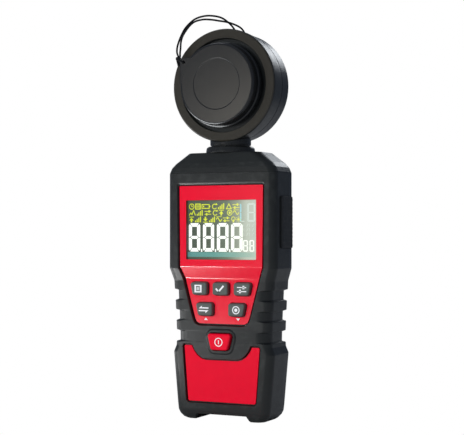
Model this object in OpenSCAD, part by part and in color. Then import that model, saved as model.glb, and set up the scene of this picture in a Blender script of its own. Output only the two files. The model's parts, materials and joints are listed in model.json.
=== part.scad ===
// Handheld digital light meter with a swivelling sensor head and a tethered sensor cap.
// Millimetres. +Z up, the display faces -Y, the neck axis is X = 0, Y = 0, and the feet stand on Z = 0.
// Heights in the modules are measured from the underside between the feet, and every node is lifted by the feet's height.

/* [Body] */
// Half width of the body over the display
body_hw = 29.5; // [29.4:0.1:29.6]
// Height of the parting line under the shoulder cover
part_z = 118.6; // [118.4:0.1:118.8]
// Height of the top of the shoulder cover
top_z = 128.5; // [128.4:0.1:128.5]
// Outer face of the body over the display (distance in front of the neck axis)
face_y = 12; // [11.9:0.1:12.1]
// Flat back of the body (distance behind the neck axis)
back_y = 15.3; // [15.2:0.05:15.3]
// Plane where the front and rear shells meet
seam_y = 4.5; // [4.3:0.1:4.7]
// Wall thickness of the shells
wall = 1.8; // [1.7:0.05:1.9]
// Height of the two moulded feet
foot_h = 3; // [2.8:0.1:3.2]

/* [Sensor head] */
// Height of the centre of the round sensor head
head_z = 161.6; // [161.5:0.1:161.8]
// Largest radius of the head
head_r = 27.8; // [27.7:0.1:27.8]
// Radius of the opening that the cap sits in
bore_r = 23; // [22.9:0.1:23.1]
// Radius of the cap's front face
cap_r = 20.1; // [19.9:0.1:20.2]
// Front face of the cap (distance in front of the neck axis)
cap_y = 16.2; // [16.1:0.05:16.25]
// Radius of the swivel stem
stem_r = 7; // [6.8:0.1:7.2]
// Radial running clearance of the swivel stem
stem_gap = 0.05; // [0.03:0.01:0.08]

/* [Keys and battery] */
// Travel of each key
key_travel = 0.8; // [0.6:0.1:0.8]
// Clearance round each key in its hole
key_gap = 0.25; // [0.2:0.05:0.3]
// Radius of one AAA cell
cell_r = 5.2; // [5.1:0.05:5.25]
// Length of one AAA cell
cell_l = 44.5; // [44:0.1:44.5]

/* [Tether] */
// Diameter of the tether cord
cord_d = 0.85; // [0.8:0.05:0.9]

/* [Hidden] */
$fn = 64;

// ---- body form -------------------------------------------------------------
// rows of the outer form: height, half width, front, rear corner, back of the hump, corner radius
rows = [
    [-foot_h, 22.4, -8.6, 9.6, 13.2],
    [0.8 - foot_h, 23.5, -9.8, 10.3, 14.3],
    [2.5 - foot_h, 24.6, -10.7, 11.3, 15.0],
    [4.4 - foot_h, 25.15, -11.0, 11.8, back_y],
    [4.8,   25.35, -11.0, 11.9, back_y],
    [30,    27.6, -11.0, 11.9, back_y],
    [33.2,  26.1, -11.0, 11.9, back_y],
    [34.6,  26.0, -11.0, 11.9, back_y],
    [35.7,  24.95, -11.0, 11.9, back_y],
    [40.5,  25.05, -11.0, 11.9, back_y],
    [41,    26.1, -11.0, 11.9, back_y],
    [44.9,  26.3, -11.0, 11.9, back_y],
    [46.2,  25.2, -11.0, 11.9, back_y],
    [50.6,  25.4, -11.0, 11.9, back_y],
    [51.1,  26.6, -11.0, 11.9, back_y],
    [54.9,  26.8, -11.0, 11.9, back_y],
    [56.2,  25.6, -11.0, 11.9, back_y],
    [60.7,  25.8, -11.0, 11.9, back_y],
    [61.2,  27.2, -11.0, 11.9, back_y],
    [65.5,  27.5, -11.0, 11.7, back_y],
    [71.6,  body_hw, -face_y, 11.2, back_y],
    [108,   body_hw, -face_y, 11.2, back_y],
    [116,   body_hw, -face_y, 11.2, 11.6],
    [part_z, body_hw, -face_y, 11.2, 11.3],
    [121.2, 28.4, -11.9, 11.2, 11.3, 4.4],
    [123.4, 26.4, -11.6, 11.1, 11.2, 4.8],
    [top_z - 0.6, 20.5, -10.7, 10.7, 10.8, 5.5],
    [top_z, 19.8, -10.4, 10.4, 10.5, 5.5]];
// rows of the hollow inside
hollow = [
    [1.9,   21.0,  -8.0,  9.0, 12.6],
    [7,     23.0,  -8.4,  9.4, back_y - wall],
    [30,    24.6,  -8.4,  9.4, back_y - wall],
    [34,    22.8,  -8.4,  9.4, back_y - wall],
    [62,    22.9,  -8.4,  9.4, back_y - wall],
    [66,    25.0,  -8.4,  9.4, back_y - wall],
    [72,    27.6, -10.2,  9.4, back_y - wall],
    [106,   27.6, -10.2,  9.4, back_y - wall],
    [115,   27.6, -10.2,  9.4,  9.7],
    [part_z - 0.5, 27.6, -10.2,  9.4,  9.6],
    [122.8, 24.6,  -9.8,  9.3,  9.4],
    [126.5, 19.6,  -8.9,  8.9,  9.0]];
corner_r = 4;
arc_n = 4;

function arc(cx, cy, r, a0, a1) = [for (i = [0:arc_n]) let (a = a0 + (a1 - a0) * i / arc_n) [cx + r * cos(a), cy + r * sin(a)]];
function section(w, f, b, h, r) = let (e = w - r, ho = min(21.2, e - 0.3), hi = ho - 2.6) concat(
    arc(e, f + r, r, -90, 0), arc(e, b - r, r, 0, 90),
    [[ho, b + 0.001], [hi, h], [-hi, h], [-ho, b + 0.001]],
    arc(-e, b - r, r, 90, 180), arc(-e, f + r, r, 180, 270));
// skin over a stack of closed rings with the same number of points, first ring lowest
module skin(rings) {
    n = len(rings[0]);
    m = len(rings);
    pts = [for (s = rings) each s];
    faces = concat(
        [[for (i = [0:n - 1]) i]],
        [for (k = [0:m - 2], i = [0:n - 1]) each
            [[k * n + i, (k + 1) * n + i, (k + 1) * n + (i + 1) % n], [k * n + i, (k + 1) * n + (i + 1) % n, k * n + (i + 1) % n]]],
        [[for (i = [n - 1:-1:0]) (m - 1) * n + i]]);
    polyhedron(points = pts, faces = faces, convexity = 6);
}
module form(list, r) {
    skin([for (q = list) [for (p = section(q[1], q[2], q[3], q[4], len(q) > 5 ? q[5] : r)) [p[0], p[1], q[0]]]]);
}
module yext(back, front) { translate([0, back, 0]) rotate([90, 0, 0]) linear_extrude(back - front) children(); }
module xext(half) { translate([-half, 0, 0]) rotate([90, 0, 90]) linear_extrude(2 * half) children(); }
module ybore(x, z, r, y0, y1) { translate([x, y0, z]) rotate([-90, 0, 0]) cylinder(r = r, h = y1 - y0); }
// turned about the head's own axis, which runs along Y; profile points are [radius, Y]
module turned(profile) { translate([0, 0, head_z]) rotate([-90, 0, 0]) rotate_extrude($fn = 96) polygon(profile); }
function mirrored(p) = concat(p, [for (i = [len(p) - 1:-1:0]) [-p[i][0], p[i][1]]]);

// ---- panels, keys and display ---------------------------------------------
upper_outline = mirrored([[22.6, 112.5], [23.0, 112.1], [22.6, 72.4], [20.3, 66.6], [15.0, 47.2], [14.0, 45.1], [12.2, 44.2]]);
panel_profile = [[-11.3, 113], [-11.3, 72.4], [-9.8, 66.6], [-9.8, 43], [-8.3, 43], [-8.3, 67.2], [-9.8, 73.2], [-9.8, 113]];
seat_cut = [[-14, 113.5], [-14, 43], [-8.25, 43], [-8.25, 67.2], [-9.75, 73.2], [-9.75, 113.5]];
seat_body = [[-11, 115], [-10.4, 42], [-7.0, 42], [-7.0, 67.8], [-8.2, 73.4], [-8.2, 115]];
lower_outline = mirrored([[16.4, 33.6], [20.2, 33.6], [20.7, 33.0], [18.6, 6.8], [17.5, 5.8]]);
bridge_notch = mirrored([[16.7, 35.5], [16.2, 33.2], [15.2, 31.1], [13.2, 28.7], [11.0, 27.2], [8.6, 26.6]]);
hold_pts = [[-16.7, 64.8], [-7.3, 64.8], [-7.3, 58.5], [-15.2, 58.5]];
set_pts = [[-4.2, 64.8], [4.2, 64.8], [4.2, 58.5], [-4.2, 58.5]];
func_pts = [for (p = hold_pts) [-p[0], p[1]]];
unit_pts = [[-13.6, 54.7], [-4.3, 54.7], [-4.3, 48.3], [-12.2, 48.3]];
record_pts = [for (p = unit_pts) [-p[0], p[1]]];
power_pts = [[-6.6, 39.8], [6.6, 39.8], [4.5, 31.7], [-4.5, 31.7]];
all_keys = [hold_pts, set_pts, func_pts, unit_pts, record_pts];
switch_xz = [[-11.6, 61.6], [0, 61.6], [11.6, 61.6], [-8.7, 51.5], [8.7, 51.5], [0, 35.8]];

module key_shape(pts, grow) { offset(delta = grow) polygon(pts); }
module key_piece(pts, cxz, face, back_face) {
    yext(back_face, face + 0.45) polygon(pts);
    yext(face + 0.46, face) offset(delta = -0.5) polygon(pts);
    yext(back_face + 0.8, back_face) offset(delta = 0.6) polygon(pts);
    ybore(cxz[0], cxz[1], 1.4, back_face + 0.79, -5.6);
}

boss_xz = [[-20.4, 15.5], [20.4, 15.5], [-24.2, 110], [24.2, 110]];

module front_shell() {
    color("#2a2c2d") difference() {
        union() {
            difference() {
                intersection() {
                    form(rows, corner_r);
                    translate([-40, -40, -5]) cube([80, 40 + seam_y, part_z - 0.1 + 5]);
                }
                form(hollow, 2.6);
            }
            intersection() {
                yext(-6, -12) polygon(mirrored([[23.4, 114.2], [24.4, 112.6], [24.0, 72], [21.8, 66.2], [16.4, 46.6], [15.4, 44.2], [13, 43]]));
                xext(30) polygon(seat_body);
            }
            for (b = boss_xz) ybore(b[0], b[1], 2.9, -9.3, seam_y - 0.05);
            // collar round the power key
            yext(-9.5, -11.5) offset(delta = 1.7) polygon(power_pts);
        }
        // seat of the upper panel, its display and keypad openings
        intersection() {
            yext(-4, -20) offset(delta = 0.1) polygon(upper_outline);
            xext(30) polygon(seat_cut);
        }
        yext(-4, -20) translate([-20.5, 74.3]) square([41, 32.4]);
        yext(-4, -20) polygon(mirrored([[19.2, 66.4], [14.5, 47.4], [13.4, 45.4]]));
        // seat of the lower panel
        difference() {
            yext(-9.4, -20) offset(delta = 0.1) polygon(lower_outline);
            yext(-4, -21) polygon(bridge_notch);
        }
        // power key opening
        yext(-4, -20) offset(delta = key_gap) polygon(power_pts);
        for (b = boss_xz) ybore(b[0], b[1], 1.3, -4, seam_y + 1);
        grip_pockets();
        foot_recess();
    }
}
module foot_recess() { yext(20, -20) polygon([[-15.5, -4], [-13.6, -0.1], [13.6, -0.1], [15.5, -4]]); }
module grip_pockets() {
    for (s = [-1, 1]) translate([s * 28.4, -5.4, 81.4]) translate([s > 0 ? 0 : -4, 0, 0]) cube([4, 12.8, 25.7]);
}

door_half = 15.2;
door_lo = 12;
door_hi = 58;
// hinge pins of the battery door
pin_y = 14.4;
pin_z = 13.1;
module rear_shell() {
    color("#26282a") difference() {
        union() {
            difference() {
                intersection() {
                    form(rows, corner_r);
                    translate([-40, seam_y, -5]) cube([80, 40, part_z - 0.1 + 5]);
                }
                form(hollow, 2.6);
            }
            for (b = boss_xz) ybore(b[0], b[1], 3.2, seam_y, 10);
        }
        // battery door opening with the latch notch above it
        translate([-door_half, 11, door_lo]) cube([2 * door_half, 8, door_hi - door_lo]);
        translate([-4.4, 13.95, door_hi - 1]) cube([8.8, 5, 4.2]);
        translate([-door_half - 0.9, pin_y, pin_z]) rotate([0, 90, 0]) cylinder(r = 0.6, h = 2 * door_half + 1.8);
        for (b = boss_xz) {
            ybore(b[0], b[1], 1.35, 0, 20);
            ybore(b[0], b[1], 2.6, 9.1, 20);
        }
        grip_pockets();
        foot_recess();
        // clear of the battery tray and its side walls
        translate([-17.7, 0.3, 8.3]) cube([35.4, 12.2, 53.4]);
    }
}

module shoulder_cover() {
    color("#2a2c2d") difference() {
        intersection() {
            form(rows, corner_r);
            translate([-40, -40, part_z]) cube([80, 80, 20]);
        }
        form(hollow, 2.6);
        translate([0, 0, part_z - 5]) cylinder(r = 8.65, h = 20);
    }
}

module upper_panel() {
    color("#e0202c") difference() {
        intersection() {
            yext(-4, -20) polygon(upper_outline);
            xext(30) polygon(panel_profile);
        }
        yext(-4, -20) translate([-18.7, 76.3]) square([37.4, 28.5]);
        for (k = all_keys) yext(-4, -20) offset(delta = key_gap) polygon(k);
    }
}

module lower_panel() {
    color("#e0202c") yext(-9.4, -10.2) difference() {
        polygon(lower_outline);
        offset(delta = 0.1) polygon(bridge_notch);
    }
}

module grip_pad(s) {
    color("#1d1f20") {
        translate([s > 0 ? 28.45 : -30.5, -5.2, 81.6]) cube([2.05, 12.4, 25.3]);
        for (i = [0:11]) translate([s > 0 ? 30.45 : -30.7, -4.8, 82.35 + i * 2.0]) cube([0.25, 11.6, 1.5]);
    }
}
module left_grip_pad() grip_pad(-1);
module right_grip_pad() grip_pad(1);

module display_window() {
    color([0.75, 0.8, 0.78, 0.5]) {
        yext(-9.7, -10.5) translate([-18.6, 76.4]) square([37.2, 28.3]);
        yext(-9.0, -9.71) translate([-20.2, 74.7]) square([40.4, 31.6]);
    }
}
module display_glass() { color("#8b978f") yext(-6.6, -8.9) translate([-19.8, 75]) square([39.6, 31]); }
module display_backlight() { color("#d5ddd2") yext(-4.1, -6.5) translate([-18, 78.6]) square([36, 23.8]); }
module display_frame() {
    color("#3a3b3b") yext(-3.25, -8.1) difference() {
        translate([-21.4, 73.6]) square([42.8, 33.8]);
        translate([-19.9, 74.9]) square([39.8, 31.2]);
    }
}
module elastomer_strips() {
    color("#7d8fa6") for (z = [75.3, 103.3]) yext(-3.25, -6.55) translate([-17, z]) square([34, 2.4]);
}

module main_board() {
    color("#1f6a43") difference() {
        yext(-1.6, -3.2) polygon(mirrored([[25.6, 114.5], [26, 114], [26, 70], [21, 66], [21, 30.5], [20.5, 30]]));
        for (b = boss_xz) ybore(b[0], b[1], 3.3, -6, 6);
        for (b = [[-22.8, 72], [22.8, 72], [-18.6, 33], [18.6, 33]]) ybore(b[0], b[1], 1.15, -6, 6);
    }
}
module board_parts() {
    color("#26282c") {
        translate([-8, -1.6, 84]) cube([12, 1.6, 12]);
        translate([8, -1.6, 88]) cube([5, 1.4, 6.2]);
        translate([-17, -1.6, 78]) cube([6, 1.5, 4]);
        translate([10, -1.6, 76]) cube([3.2, 1.2, 1.6]);
        translate([-18, -1.6, 96]) cube([2.0, 0.9, 1.25]);
        translate([-14, -1.6, 96]) cube([2.0, 0.9, 1.25]);
        translate([14, -1.6, 100]) cube([2.0, 0.9, 1.25]);
        ybore(17, 82, 2.1, -1.6, 3.4);
    }
}
module key_switches() {
    color("#8a8a88") for (s = switch_xz) {
        yext(-3.2, -4.3) translate([s[0] - 2.3, s[1] - 2.3]) square(4.6);
        ybore(s[0], s[1], 1.2, -4.7, -4.29);
    }
}
module lead_connector() { color("#e8e3d4") translate([-4, -1.6, 105.2]) cube([8, 4.2, 6.2]); }
module board_screws() {
    color("silver") for (b = [[-22.8, 72], [22.8, 72], [-18.6, 33], [18.6, 33]]) {
        ybore(b[0], b[1], 1.0, -6.2, -1.58);
        ybore(b[0], b[1], 1.9, -1.59, -0.5);
    }
}

module battery_tray() {
    color("#34373a") difference() {
        translate([-17.4, 0.4, 8.4]) cube([34.8, 12, 53.2]);
        translate([-16.6, 1.2, 9.6]) cube([33.2, 14, 50.8]);
    }
}
cells = [[-11, 15.55, 1], [0, 9.95, -1], [11, 15.55, 1]];
module battery_cells() {
    color("#b9bcc0") for (c = cells) translate([c[0], 6.6, c[1]]) {
        translate([0, 0, c[2] > 0 ? 0 : 0.9]) cylinder(r = cell_r, h = cell_l - 0.9);
        translate([0, 0, c[2] > 0 ? cell_l - 0.91 : 0]) cylinder(r = 1.9, h = 0.91);
    }
}
// closed tube of radius r along the points of a path, with n sides
function unit(v) = v / norm(v);
function tangent(p, i) = unit(p[min(i + 1, len(p) - 1)] - p[max(i - 1, 0)]);
function side_of(t) = unit(cross(t, abs(t[0]) < 0.8 ? [1, 0, 0] : [0, 0, 1]));
function carry(p, i = 0, s = undef, out = []) = i == len(p) ? out :
    let (t = tangent(p, i), s0 = i == 0 ? side_of(t) : unit(s - t * (s * t)))
    carry(p, i + 1, s0, concat(out, [s0]));
module tube(p, r, n) {
    sides = carry(p);
    skin([for (i = [0:len(p) - 1]) let (t = tangent(p, i), a = sides[i], b = cross(t, a))
        [for (k = [0:n - 1]) p[i] + r * (cos(360 * k / n) * a + sin(360 * k / n) * b)]]);
}
spring_turns = 3.5;
module spring(x, z, up) {
    translate([x, 6.6, z]) mirror([0, 0, up ? 0 : 1])
        tube([for (i = [0:28]) let (u = i / 28, a = 360 * spring_turns * u, r = 3.7 - 1.9 * u)
            [r * cos(a), r * sin(a), 0.4 + 4.7 * u]], 0.3, 6);
}
module battery_springs() { color("silver") { spring(-11, 10.0, true); spring(11, 10.0, true); spring(0, 60.0, false); } }
module battery_contacts() {
    color("#c9b27a") {
        for (x = [-11, 0, 11]) {
            translate([x - 4.6, 2.2, 9.62]) cube([9.2, 8.8, 0.3]);
            translate([x - 4.6, 2.2, 60.08]) cube([9.2, 8.8, 0.3]);
        }
    }
}
module case_screws() {
    color("#4a4c4e") for (b = boss_xz) {
        ybore(b[0], b[1], 1.25, -3.5, 9.11);
        difference() {
            ybore(b[0], b[1], 2.3, 9.12, 10.5);
            for (a = [0, 90]) translate([b[0], 10.0, b[1]]) rotate([0, a, 0]) translate([-1.4, 0, -0.3]) cube([2.8, 2, 0.6]);
        }
    }
}
module neck_bush() {
    color("#232527") translate([0, 0, 0]) rotate_extrude($fn = 96)
        polygon([[stem_r + stem_gap, 120.4], [8.6, 120.4], [8.6, 128.52], [12.2, 128.52], [12.15, 129.6], [11.9, 130.9], [11.5, 131.5], [11.0, 131.7], [stem_r + stem_gap, 131.7]]);
}

module battery_door() {
    color("#26282a") {
        difference() {
            union() {
                translate([-door_half + 0.25, 13.6, pin_z]) cube([2 * door_half - 0.5, back_y - 13.6, door_hi - 0.3 - pin_z]);
                translate([-door_half + 0.25, pin_y, pin_z]) rotate([0, 90, 0]) cylinder(r = back_y - pin_y, h = 2 * door_half - 0.5);
                translate([-door_half - 0.6, pin_y, pin_z]) rotate([0, 90, 0]) cylinder(r = 0.5, h = 2 * door_half + 1.2);
                translate([-4.1, 14.1, door_hi - 1]) cube([8.2, back_y - 14.1, 3.8]);
            }
            for (i = [0:3]) translate([-6, back_y - 0.5, door_hi - 9 + i * 1.8]) cube([12, 2, 0.8]);
        }
    }
}

module hold_key() { color("#6c7470") key_piece(hold_pts, switch_xz[0], -12.3, -8.1); }
module set_key() { color("#6c7470") key_piece(set_pts, switch_xz[1], -12.3, -8.1); }
module func_key() { color("#6c7470") key_piece(func_pts, switch_xz[2], -12.3, -8.1); }
module unit_key() { color("#6c7470") key_piece(unit_pts, switch_xz[3], -12.3, -8.1); }
module record_key() { color("#6c7470") key_piece(record_pts, switch_xz[4], -12.3, -8.1); }
module power_key() { color("#e0202c") key_piece(power_pts, switch_xz[5], -13.6, -8.2); }

// ---- neck and sensor head --------------------------------------------------
module head_spindle() {
    color("#232527") difference() {
        union() {
            translate([0, 0, 115.5]) cylinder(r = stem_r, h = 131.9 - 115.5);
            difference() {
                union() {
                    translate([0, 0, 131.85]) cylinder(r = 9.6, h = 0.6);
                    translate([0, 0, 132.4]) cylinder(r = 10.1, h = 3.7);
                }
                turned([[0, -20], [head_r + 0.08, -20], [head_r + 0.08, 20], [0, 20]]);
            }
            translate([0, 0, 131]) cylinder(r = 5, h = 6.8);
            intersection() {
                translate([0, 0, 137.5]) cylinder(r = 6.4, h = 1.4);
                translate([-8, -5.2, 136]) cube([16, 12.2, 4]);
            }
        }
        translate([0, 0, 100]) cylinder(r = 3, h = 60);
        translate([0, 0, 118]) difference() { cylinder(r = 12, h = 1.1); translate([0, 0, -1]) cylinder(r = 5.9, h = 4); }
    }
}
module spindle_clip() {
    color("silver") difference() {
        translate([0, 0, 118.05]) cylinder(r = 8.8, h = 1);
        translate([0, 0, 117]) cylinder(r = 5.95, h = 4);
        translate([-3.6, 0, 117]) cube([7.2, 12, 4]);
    }
}
module wave_washer() {
    color("#c8c8c4") difference() {
        translate([0, 0, 119.2]) cylinder(r = 9.1, h = 1.0);
        translate([0, 0, 118]) cylinder(r = 7.12, h = 4);
    }
}
screw_a = [90, 205, 335];
screw_pc = 23.2;
head_seam = 1.5;
module head_bosses(r, y0, y1) { for (a = screw_a) ybore(screw_pc * cos(a), head_z + screw_pc * sin(a), r, y0, y1); }
module head_front_ring() {
    color("#3d3936") difference() {
        union() {
            turned([[bore_r, -8.6], [bore_r + 0.2, -8.8], [head_r - 0.8, -8.8], [head_r - 0.25, -8.5], [head_r, -7.9], [head_r - 0.05, -4.4],
                [head_r - 0.4, head_seam - 0.02], [25.9, head_seam - 0.02], [25.1, -5.4], [19.35, -5.4], [19.35, -6.45], [bore_r, -6.45]]);
            head_bosses(2.1, -5.5, head_seam - 0.05);
        }
        head_bosses(1.25, -5.0, 2);
        translate([0, 0, 128]) cylinder(r = 5.1, h = 12);
    }
}
module head_rear_shell() {
    color("#2a2c2d") difference() {
        union() {
            turned([[head_r - 0.45, head_seam + 0.02], [head_r - 0.5, 5], [head_r - 0.5, 8.8], [head_r - 0.8, 10.0], [head_r - 1.5, 10.7], [25.6, 11], [0, 11],
                [0, 9.2], [23.8, 9.2], [25.1, 8.4], [25.8, 6.8], [25.9, head_seam + 0.02]]);
            head_bosses(2.8, head_seam + 0.02, 10.2);
            // eyelet for the tether
            intersection() {
                translate([-1.4, 10.8, head_z + 16.6]) cube([2.8, 5, 6]);
                union() {
                    translate([-2, 12.9, head_z + 19.6]) rotate([0, 90, 0]) cylinder(r = 2.4, h = 4);
                    translate([-2, 10, head_z + 17.2]) cube([4, 2.9, 4.8]);
                }
            }
        }
        head_bosses(1.35, -2, 20);
        head_bosses(2.2, 9.4, 20);
        translate([0, 0, 128]) cylinder(r = 5.1, h = 12);
        translate([-5, 13.4, head_z + 19.6]) rotate([0, 90, 0]) cylinder(r = 1.0, h = 10);
    }
}
module head_screws() {
    color("#4a4c4e") {
        head_bosses(1.2, -4.8, 9.41);
        difference() {
            head_bosses(2.05, 9.42, 10.6);
            for (a = screw_a) translate([screw_pc * cos(a), 10.1, head_z + screw_pc * sin(a)])
                for (t = [0, 90]) rotate([0, t, 0]) translate([-1.3, 0, -0.25]) cube([2.6, 2, 0.5]);
        }
    }
}
// opal dome: a shell between two spherical caps
dome_R = 26.6;
dome_cy = 13.1;
function cap_arc(R, cy, r0, r1, n) = [for (i = [0:n]) let (r = r0 + (r1 - r0) * i / n) [r, cy - sqrt(R * R - r * r)]];
module diffuser_dome() {
    color("#eeeeea") turned(concat(cap_arc(dome_R, dome_cy, 0, 17.9, 16), [[17.9, -6.3], [18.6, -6.2], [18.6, -5.4], [16.2, -5.4]],
        cap_arc(dome_R - 1.5, dome_cy, 16.2, 0, 16)));
}
module dome_retainer() {
    color("#1b1c1d") turned([[18.1, -6.5], [18.1, -8.8], [18.4, -9.0], [19.1, -9.0], [19.2, -8.8], [19.2, -5.35], [21.0, -5.35], [21.0, -4.3], [18.7, -4.3], [18.7, -6.3], [18.1, -6.3]]);
}
module sensor_board() {
    color("#1f6a43") difference() {
        ybore(0, head_z, 21, 1.05, 2.65);
        head_bosses(3.0, -5, 12);
    }
}
module photodiode() {
    color("#b8b49a") {
        ybore(0, head_z, 4.6, -0.4, 1.04);
        ybore(0, head_z, 4.1, -3.2, -0.39);
    }
}
module sensor_lead() { color("#202020") translate([0, 0, 112]) cylinder(r = 1, h = 36); }

// ---- cap and tether --------------------------------------------------------
module sensor_cap() {
    color("#242526") difference() {
        union() {
            turned([[0, -cap_y], [cap_r - 1.9, -cap_y], [cap_r - 0.9, -cap_y + 0.25], [cap_r - 0.2, -cap_y + 1.0], [cap_r, -cap_y + 1.9],
                [cap_r + 0.2, -11.2], [cap_r + 0.8, -10.9], [cap_r + 0.8, -9.8], [cap_r + 0.6, -8.8], [cap_r + 0.5, -6.9], [0, -6.9]]);
            yext(-cap_y + 1.9, -cap_y + 0.01) polygon([[-20.1, head_z + 1], [-20.1, head_z + 12.6], [-19.2, head_z + 13.6], [-10, head_z + 13.6], [-9, head_z]]);
        }
        turned([[0, -cap_y + 1.5], [18.6, -cap_y + 1.5], [19.3, -cap_y + 2.3], [19.3, -5], [0, -5]]);
        turned([[0, -20], [12.2, -20], [12.2, -cap_y + 0.3], [0, -cap_y + 0.3]]);
        ybore(-17.9, head_z + 11.4, 0.9, -20, -10);
    }
}
knot_at = [-21.3, -14.9, 174.5];
module tether_knot() {
    color("#101010") {
        translate(knot_at) sphere(r = 1.0, $fn = 24);
        translate(knot_at + [0, 0, -3.4]) cylinder(r = cord_d / 2, h = 2.6);
    }
}
// route of the doubled tether cord: from the knot over the head, through the eyelet and back
route = [
    [-21.6, -14.6, 176.0], [-22.4, -14.6, 178.2], [-22.5, -14.2, 180.9], [-22.0, -13.5, 183.7], [-21.3, -12.6, 186.4], [-20.2, -11.1, 189.9],
    [-18.5, -9.0, 193.1], [-16.4, -6.5, 195.7], [-13.8, -3.3, 197.3], [-11.0, 0.0, 197.9], [-7.6, 3.9, 197.4], [-5.0, 6.8, 195.4],
    [-2.9, 9.8, 192.2], [-1.9, 12.1, 188.0], [-1.8, 13.3, 184.0], [-1.2, 13.4, 181.3], [1.2, 13.4, 181.1], [2.4, 13.3, 183.4],
    [2.7, 12.4, 187.4], [1.6, 11.0, 191.2], [-0.4, 9.0, 193.3], [-3.9, 5.0, 194.8], [-7.3, 1.4, 195.3], [-10.1, -1.6, 195.6],
    [-13.0, -4.8, 195.4], [-15.8, -8.0, 194.1], [-17.6, -10.0, 192.0], [-19.0, -11.7, 189.2], [-20.1, -13.1, 186.3], [-20.6, -13.9, 183.3],
    [-20.6, -14.3, 180.3], [-20.7, -14.6, 177.8], [-20.6, -14.7, 176.1]];
function catmull(a, b, c, d, t) = 0.5 * ((2 * b) + (c - a) * t + (2 * a - 5 * b + 4 * c - d) * t * t + (3 * b - a - 3 * c + d) * t * t * t);
function smooth(p, n) = concat([for (i = [0:len(p) - 2], k = [0:n - 1])
    catmull(p[max(i - 1, 0)], p[i], p[i + 1], p[min(i + 2, len(p) - 1)], k / n)], [p[len(p) - 1]]);
module tether_cord() { color("#101010") tube(smooth(route, 2), cord_d / 2, 8); }

translate([0, 0, foot_h]) front_shell();
translate([0, 0, foot_h]) rear_shell();
translate([0, 0, foot_h]) shoulder_cover();
translate([0, 0, foot_h]) upper_panel();
translate([0, 0, foot_h]) lower_panel();
translate([0, 0, foot_h]) left_grip_pad();
translate([0, 0, foot_h]) right_grip_pad();
translate([0, 0, foot_h]) display_window();
translate([0, 0, foot_h]) display_glass();
translate([0, 0, foot_h]) display_backlight();
translate([0, 0, foot_h]) display_frame();
translate([0, 0, foot_h]) elastomer_strips();
translate([0, 0, foot_h]) main_board();
translate([0, 0, foot_h]) board_parts();
translate([0, 0, foot_h]) key_switches();
translate([0, 0, foot_h]) lead_connector();
translate([0, 0, foot_h]) board_screws();
translate([0, 0, foot_h]) battery_tray();
translate([0, 0, foot_h]) battery_cells();
translate([0, 0, foot_h]) battery_springs();
translate([0, 0, foot_h]) battery_contacts();
translate([0, 0, foot_h]) case_screws();
translate([0, 0, foot_h]) neck_bush();
translate([0, 0, foot_h]) battery_door();
translate([0, 0, foot_h]) hold_key();
translate([0, 0, foot_h]) set_key();
translate([0, 0, foot_h]) func_key();
translate([0, 0, foot_h]) unit_key();
translate([0, 0, foot_h]) record_key();
translate([0, 0, foot_h]) power_key();
translate([0, 0, foot_h]) head_spindle();
translate([0, 0, foot_h]) spindle_clip();
translate([0, 0, foot_h]) wave_washer();
translate([0, 0, foot_h]) head_front_ring();
translate([0, 0, foot_h]) head_rear_shell();
translate([0, 0, foot_h]) diffuser_dome();
translate([0, 0, foot_h]) dome_retainer();
translate([0, 0, foot_h]) photodiode();
translate([0, 0, foot_h]) sensor_board();
translate([0, 0, foot_h]) head_screws();
translate([0, 0, foot_h]) sensor_lead();
translate([0, 0, foot_h]) tether_cord();
translate([0, 0, foot_h]) sensor_cap();
translate([0, 0, foot_h]) tether_knot();
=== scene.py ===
import bpy
import json
import math
import numpy as np
from mathutils import Vector, Matrix

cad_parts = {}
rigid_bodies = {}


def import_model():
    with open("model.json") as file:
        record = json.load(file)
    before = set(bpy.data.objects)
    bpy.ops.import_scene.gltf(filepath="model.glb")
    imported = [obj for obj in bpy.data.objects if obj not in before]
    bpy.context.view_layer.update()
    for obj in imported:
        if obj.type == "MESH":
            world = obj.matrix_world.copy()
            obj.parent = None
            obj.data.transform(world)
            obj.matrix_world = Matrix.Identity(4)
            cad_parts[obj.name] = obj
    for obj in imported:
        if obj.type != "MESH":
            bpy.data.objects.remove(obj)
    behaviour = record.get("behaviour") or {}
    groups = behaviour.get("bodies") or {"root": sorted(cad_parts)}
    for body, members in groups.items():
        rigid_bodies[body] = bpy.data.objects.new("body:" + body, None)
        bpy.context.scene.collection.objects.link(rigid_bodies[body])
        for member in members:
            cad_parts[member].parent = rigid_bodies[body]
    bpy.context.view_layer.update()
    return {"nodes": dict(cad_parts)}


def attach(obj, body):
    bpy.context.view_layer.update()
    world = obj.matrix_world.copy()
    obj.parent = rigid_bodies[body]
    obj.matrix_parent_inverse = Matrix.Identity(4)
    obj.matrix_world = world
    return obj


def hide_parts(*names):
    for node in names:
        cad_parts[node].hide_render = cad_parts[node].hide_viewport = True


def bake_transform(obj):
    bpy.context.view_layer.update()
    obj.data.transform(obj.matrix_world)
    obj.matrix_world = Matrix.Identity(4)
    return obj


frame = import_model()
scene = bpy.context.scene
MM = 0.001
LIFT = 3.0          # height of the feet; all shapes below are measured from the underside between them
HZ = 161.6          # centre of the sensor head


# ---------------------------------------------------------------- camera, light, floor
def look(obj, at):
    obj.rotation_euler = (Vector(at) - obj.location).to_track_quat("-Z", "Y").to_euler()


cam_data = bpy.data.cameras.new("camera")
cam = bpy.data.objects.new("camera", cam_data)
scene.collection.objects.link(cam)
cam.location = (0.2729, -0.5580, 0.0915)
look(cam, (0.2729 - 0.4384, -0.5580 + 0.8988, 0.0915))
cam_data.sensor_width = 36.0
cam_data.lens = 96.9
cam_data.shift_y = 0.0356
cam_data.clip_start = 0.01
cam_data.clip_end = 50
scene.camera = cam


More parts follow.
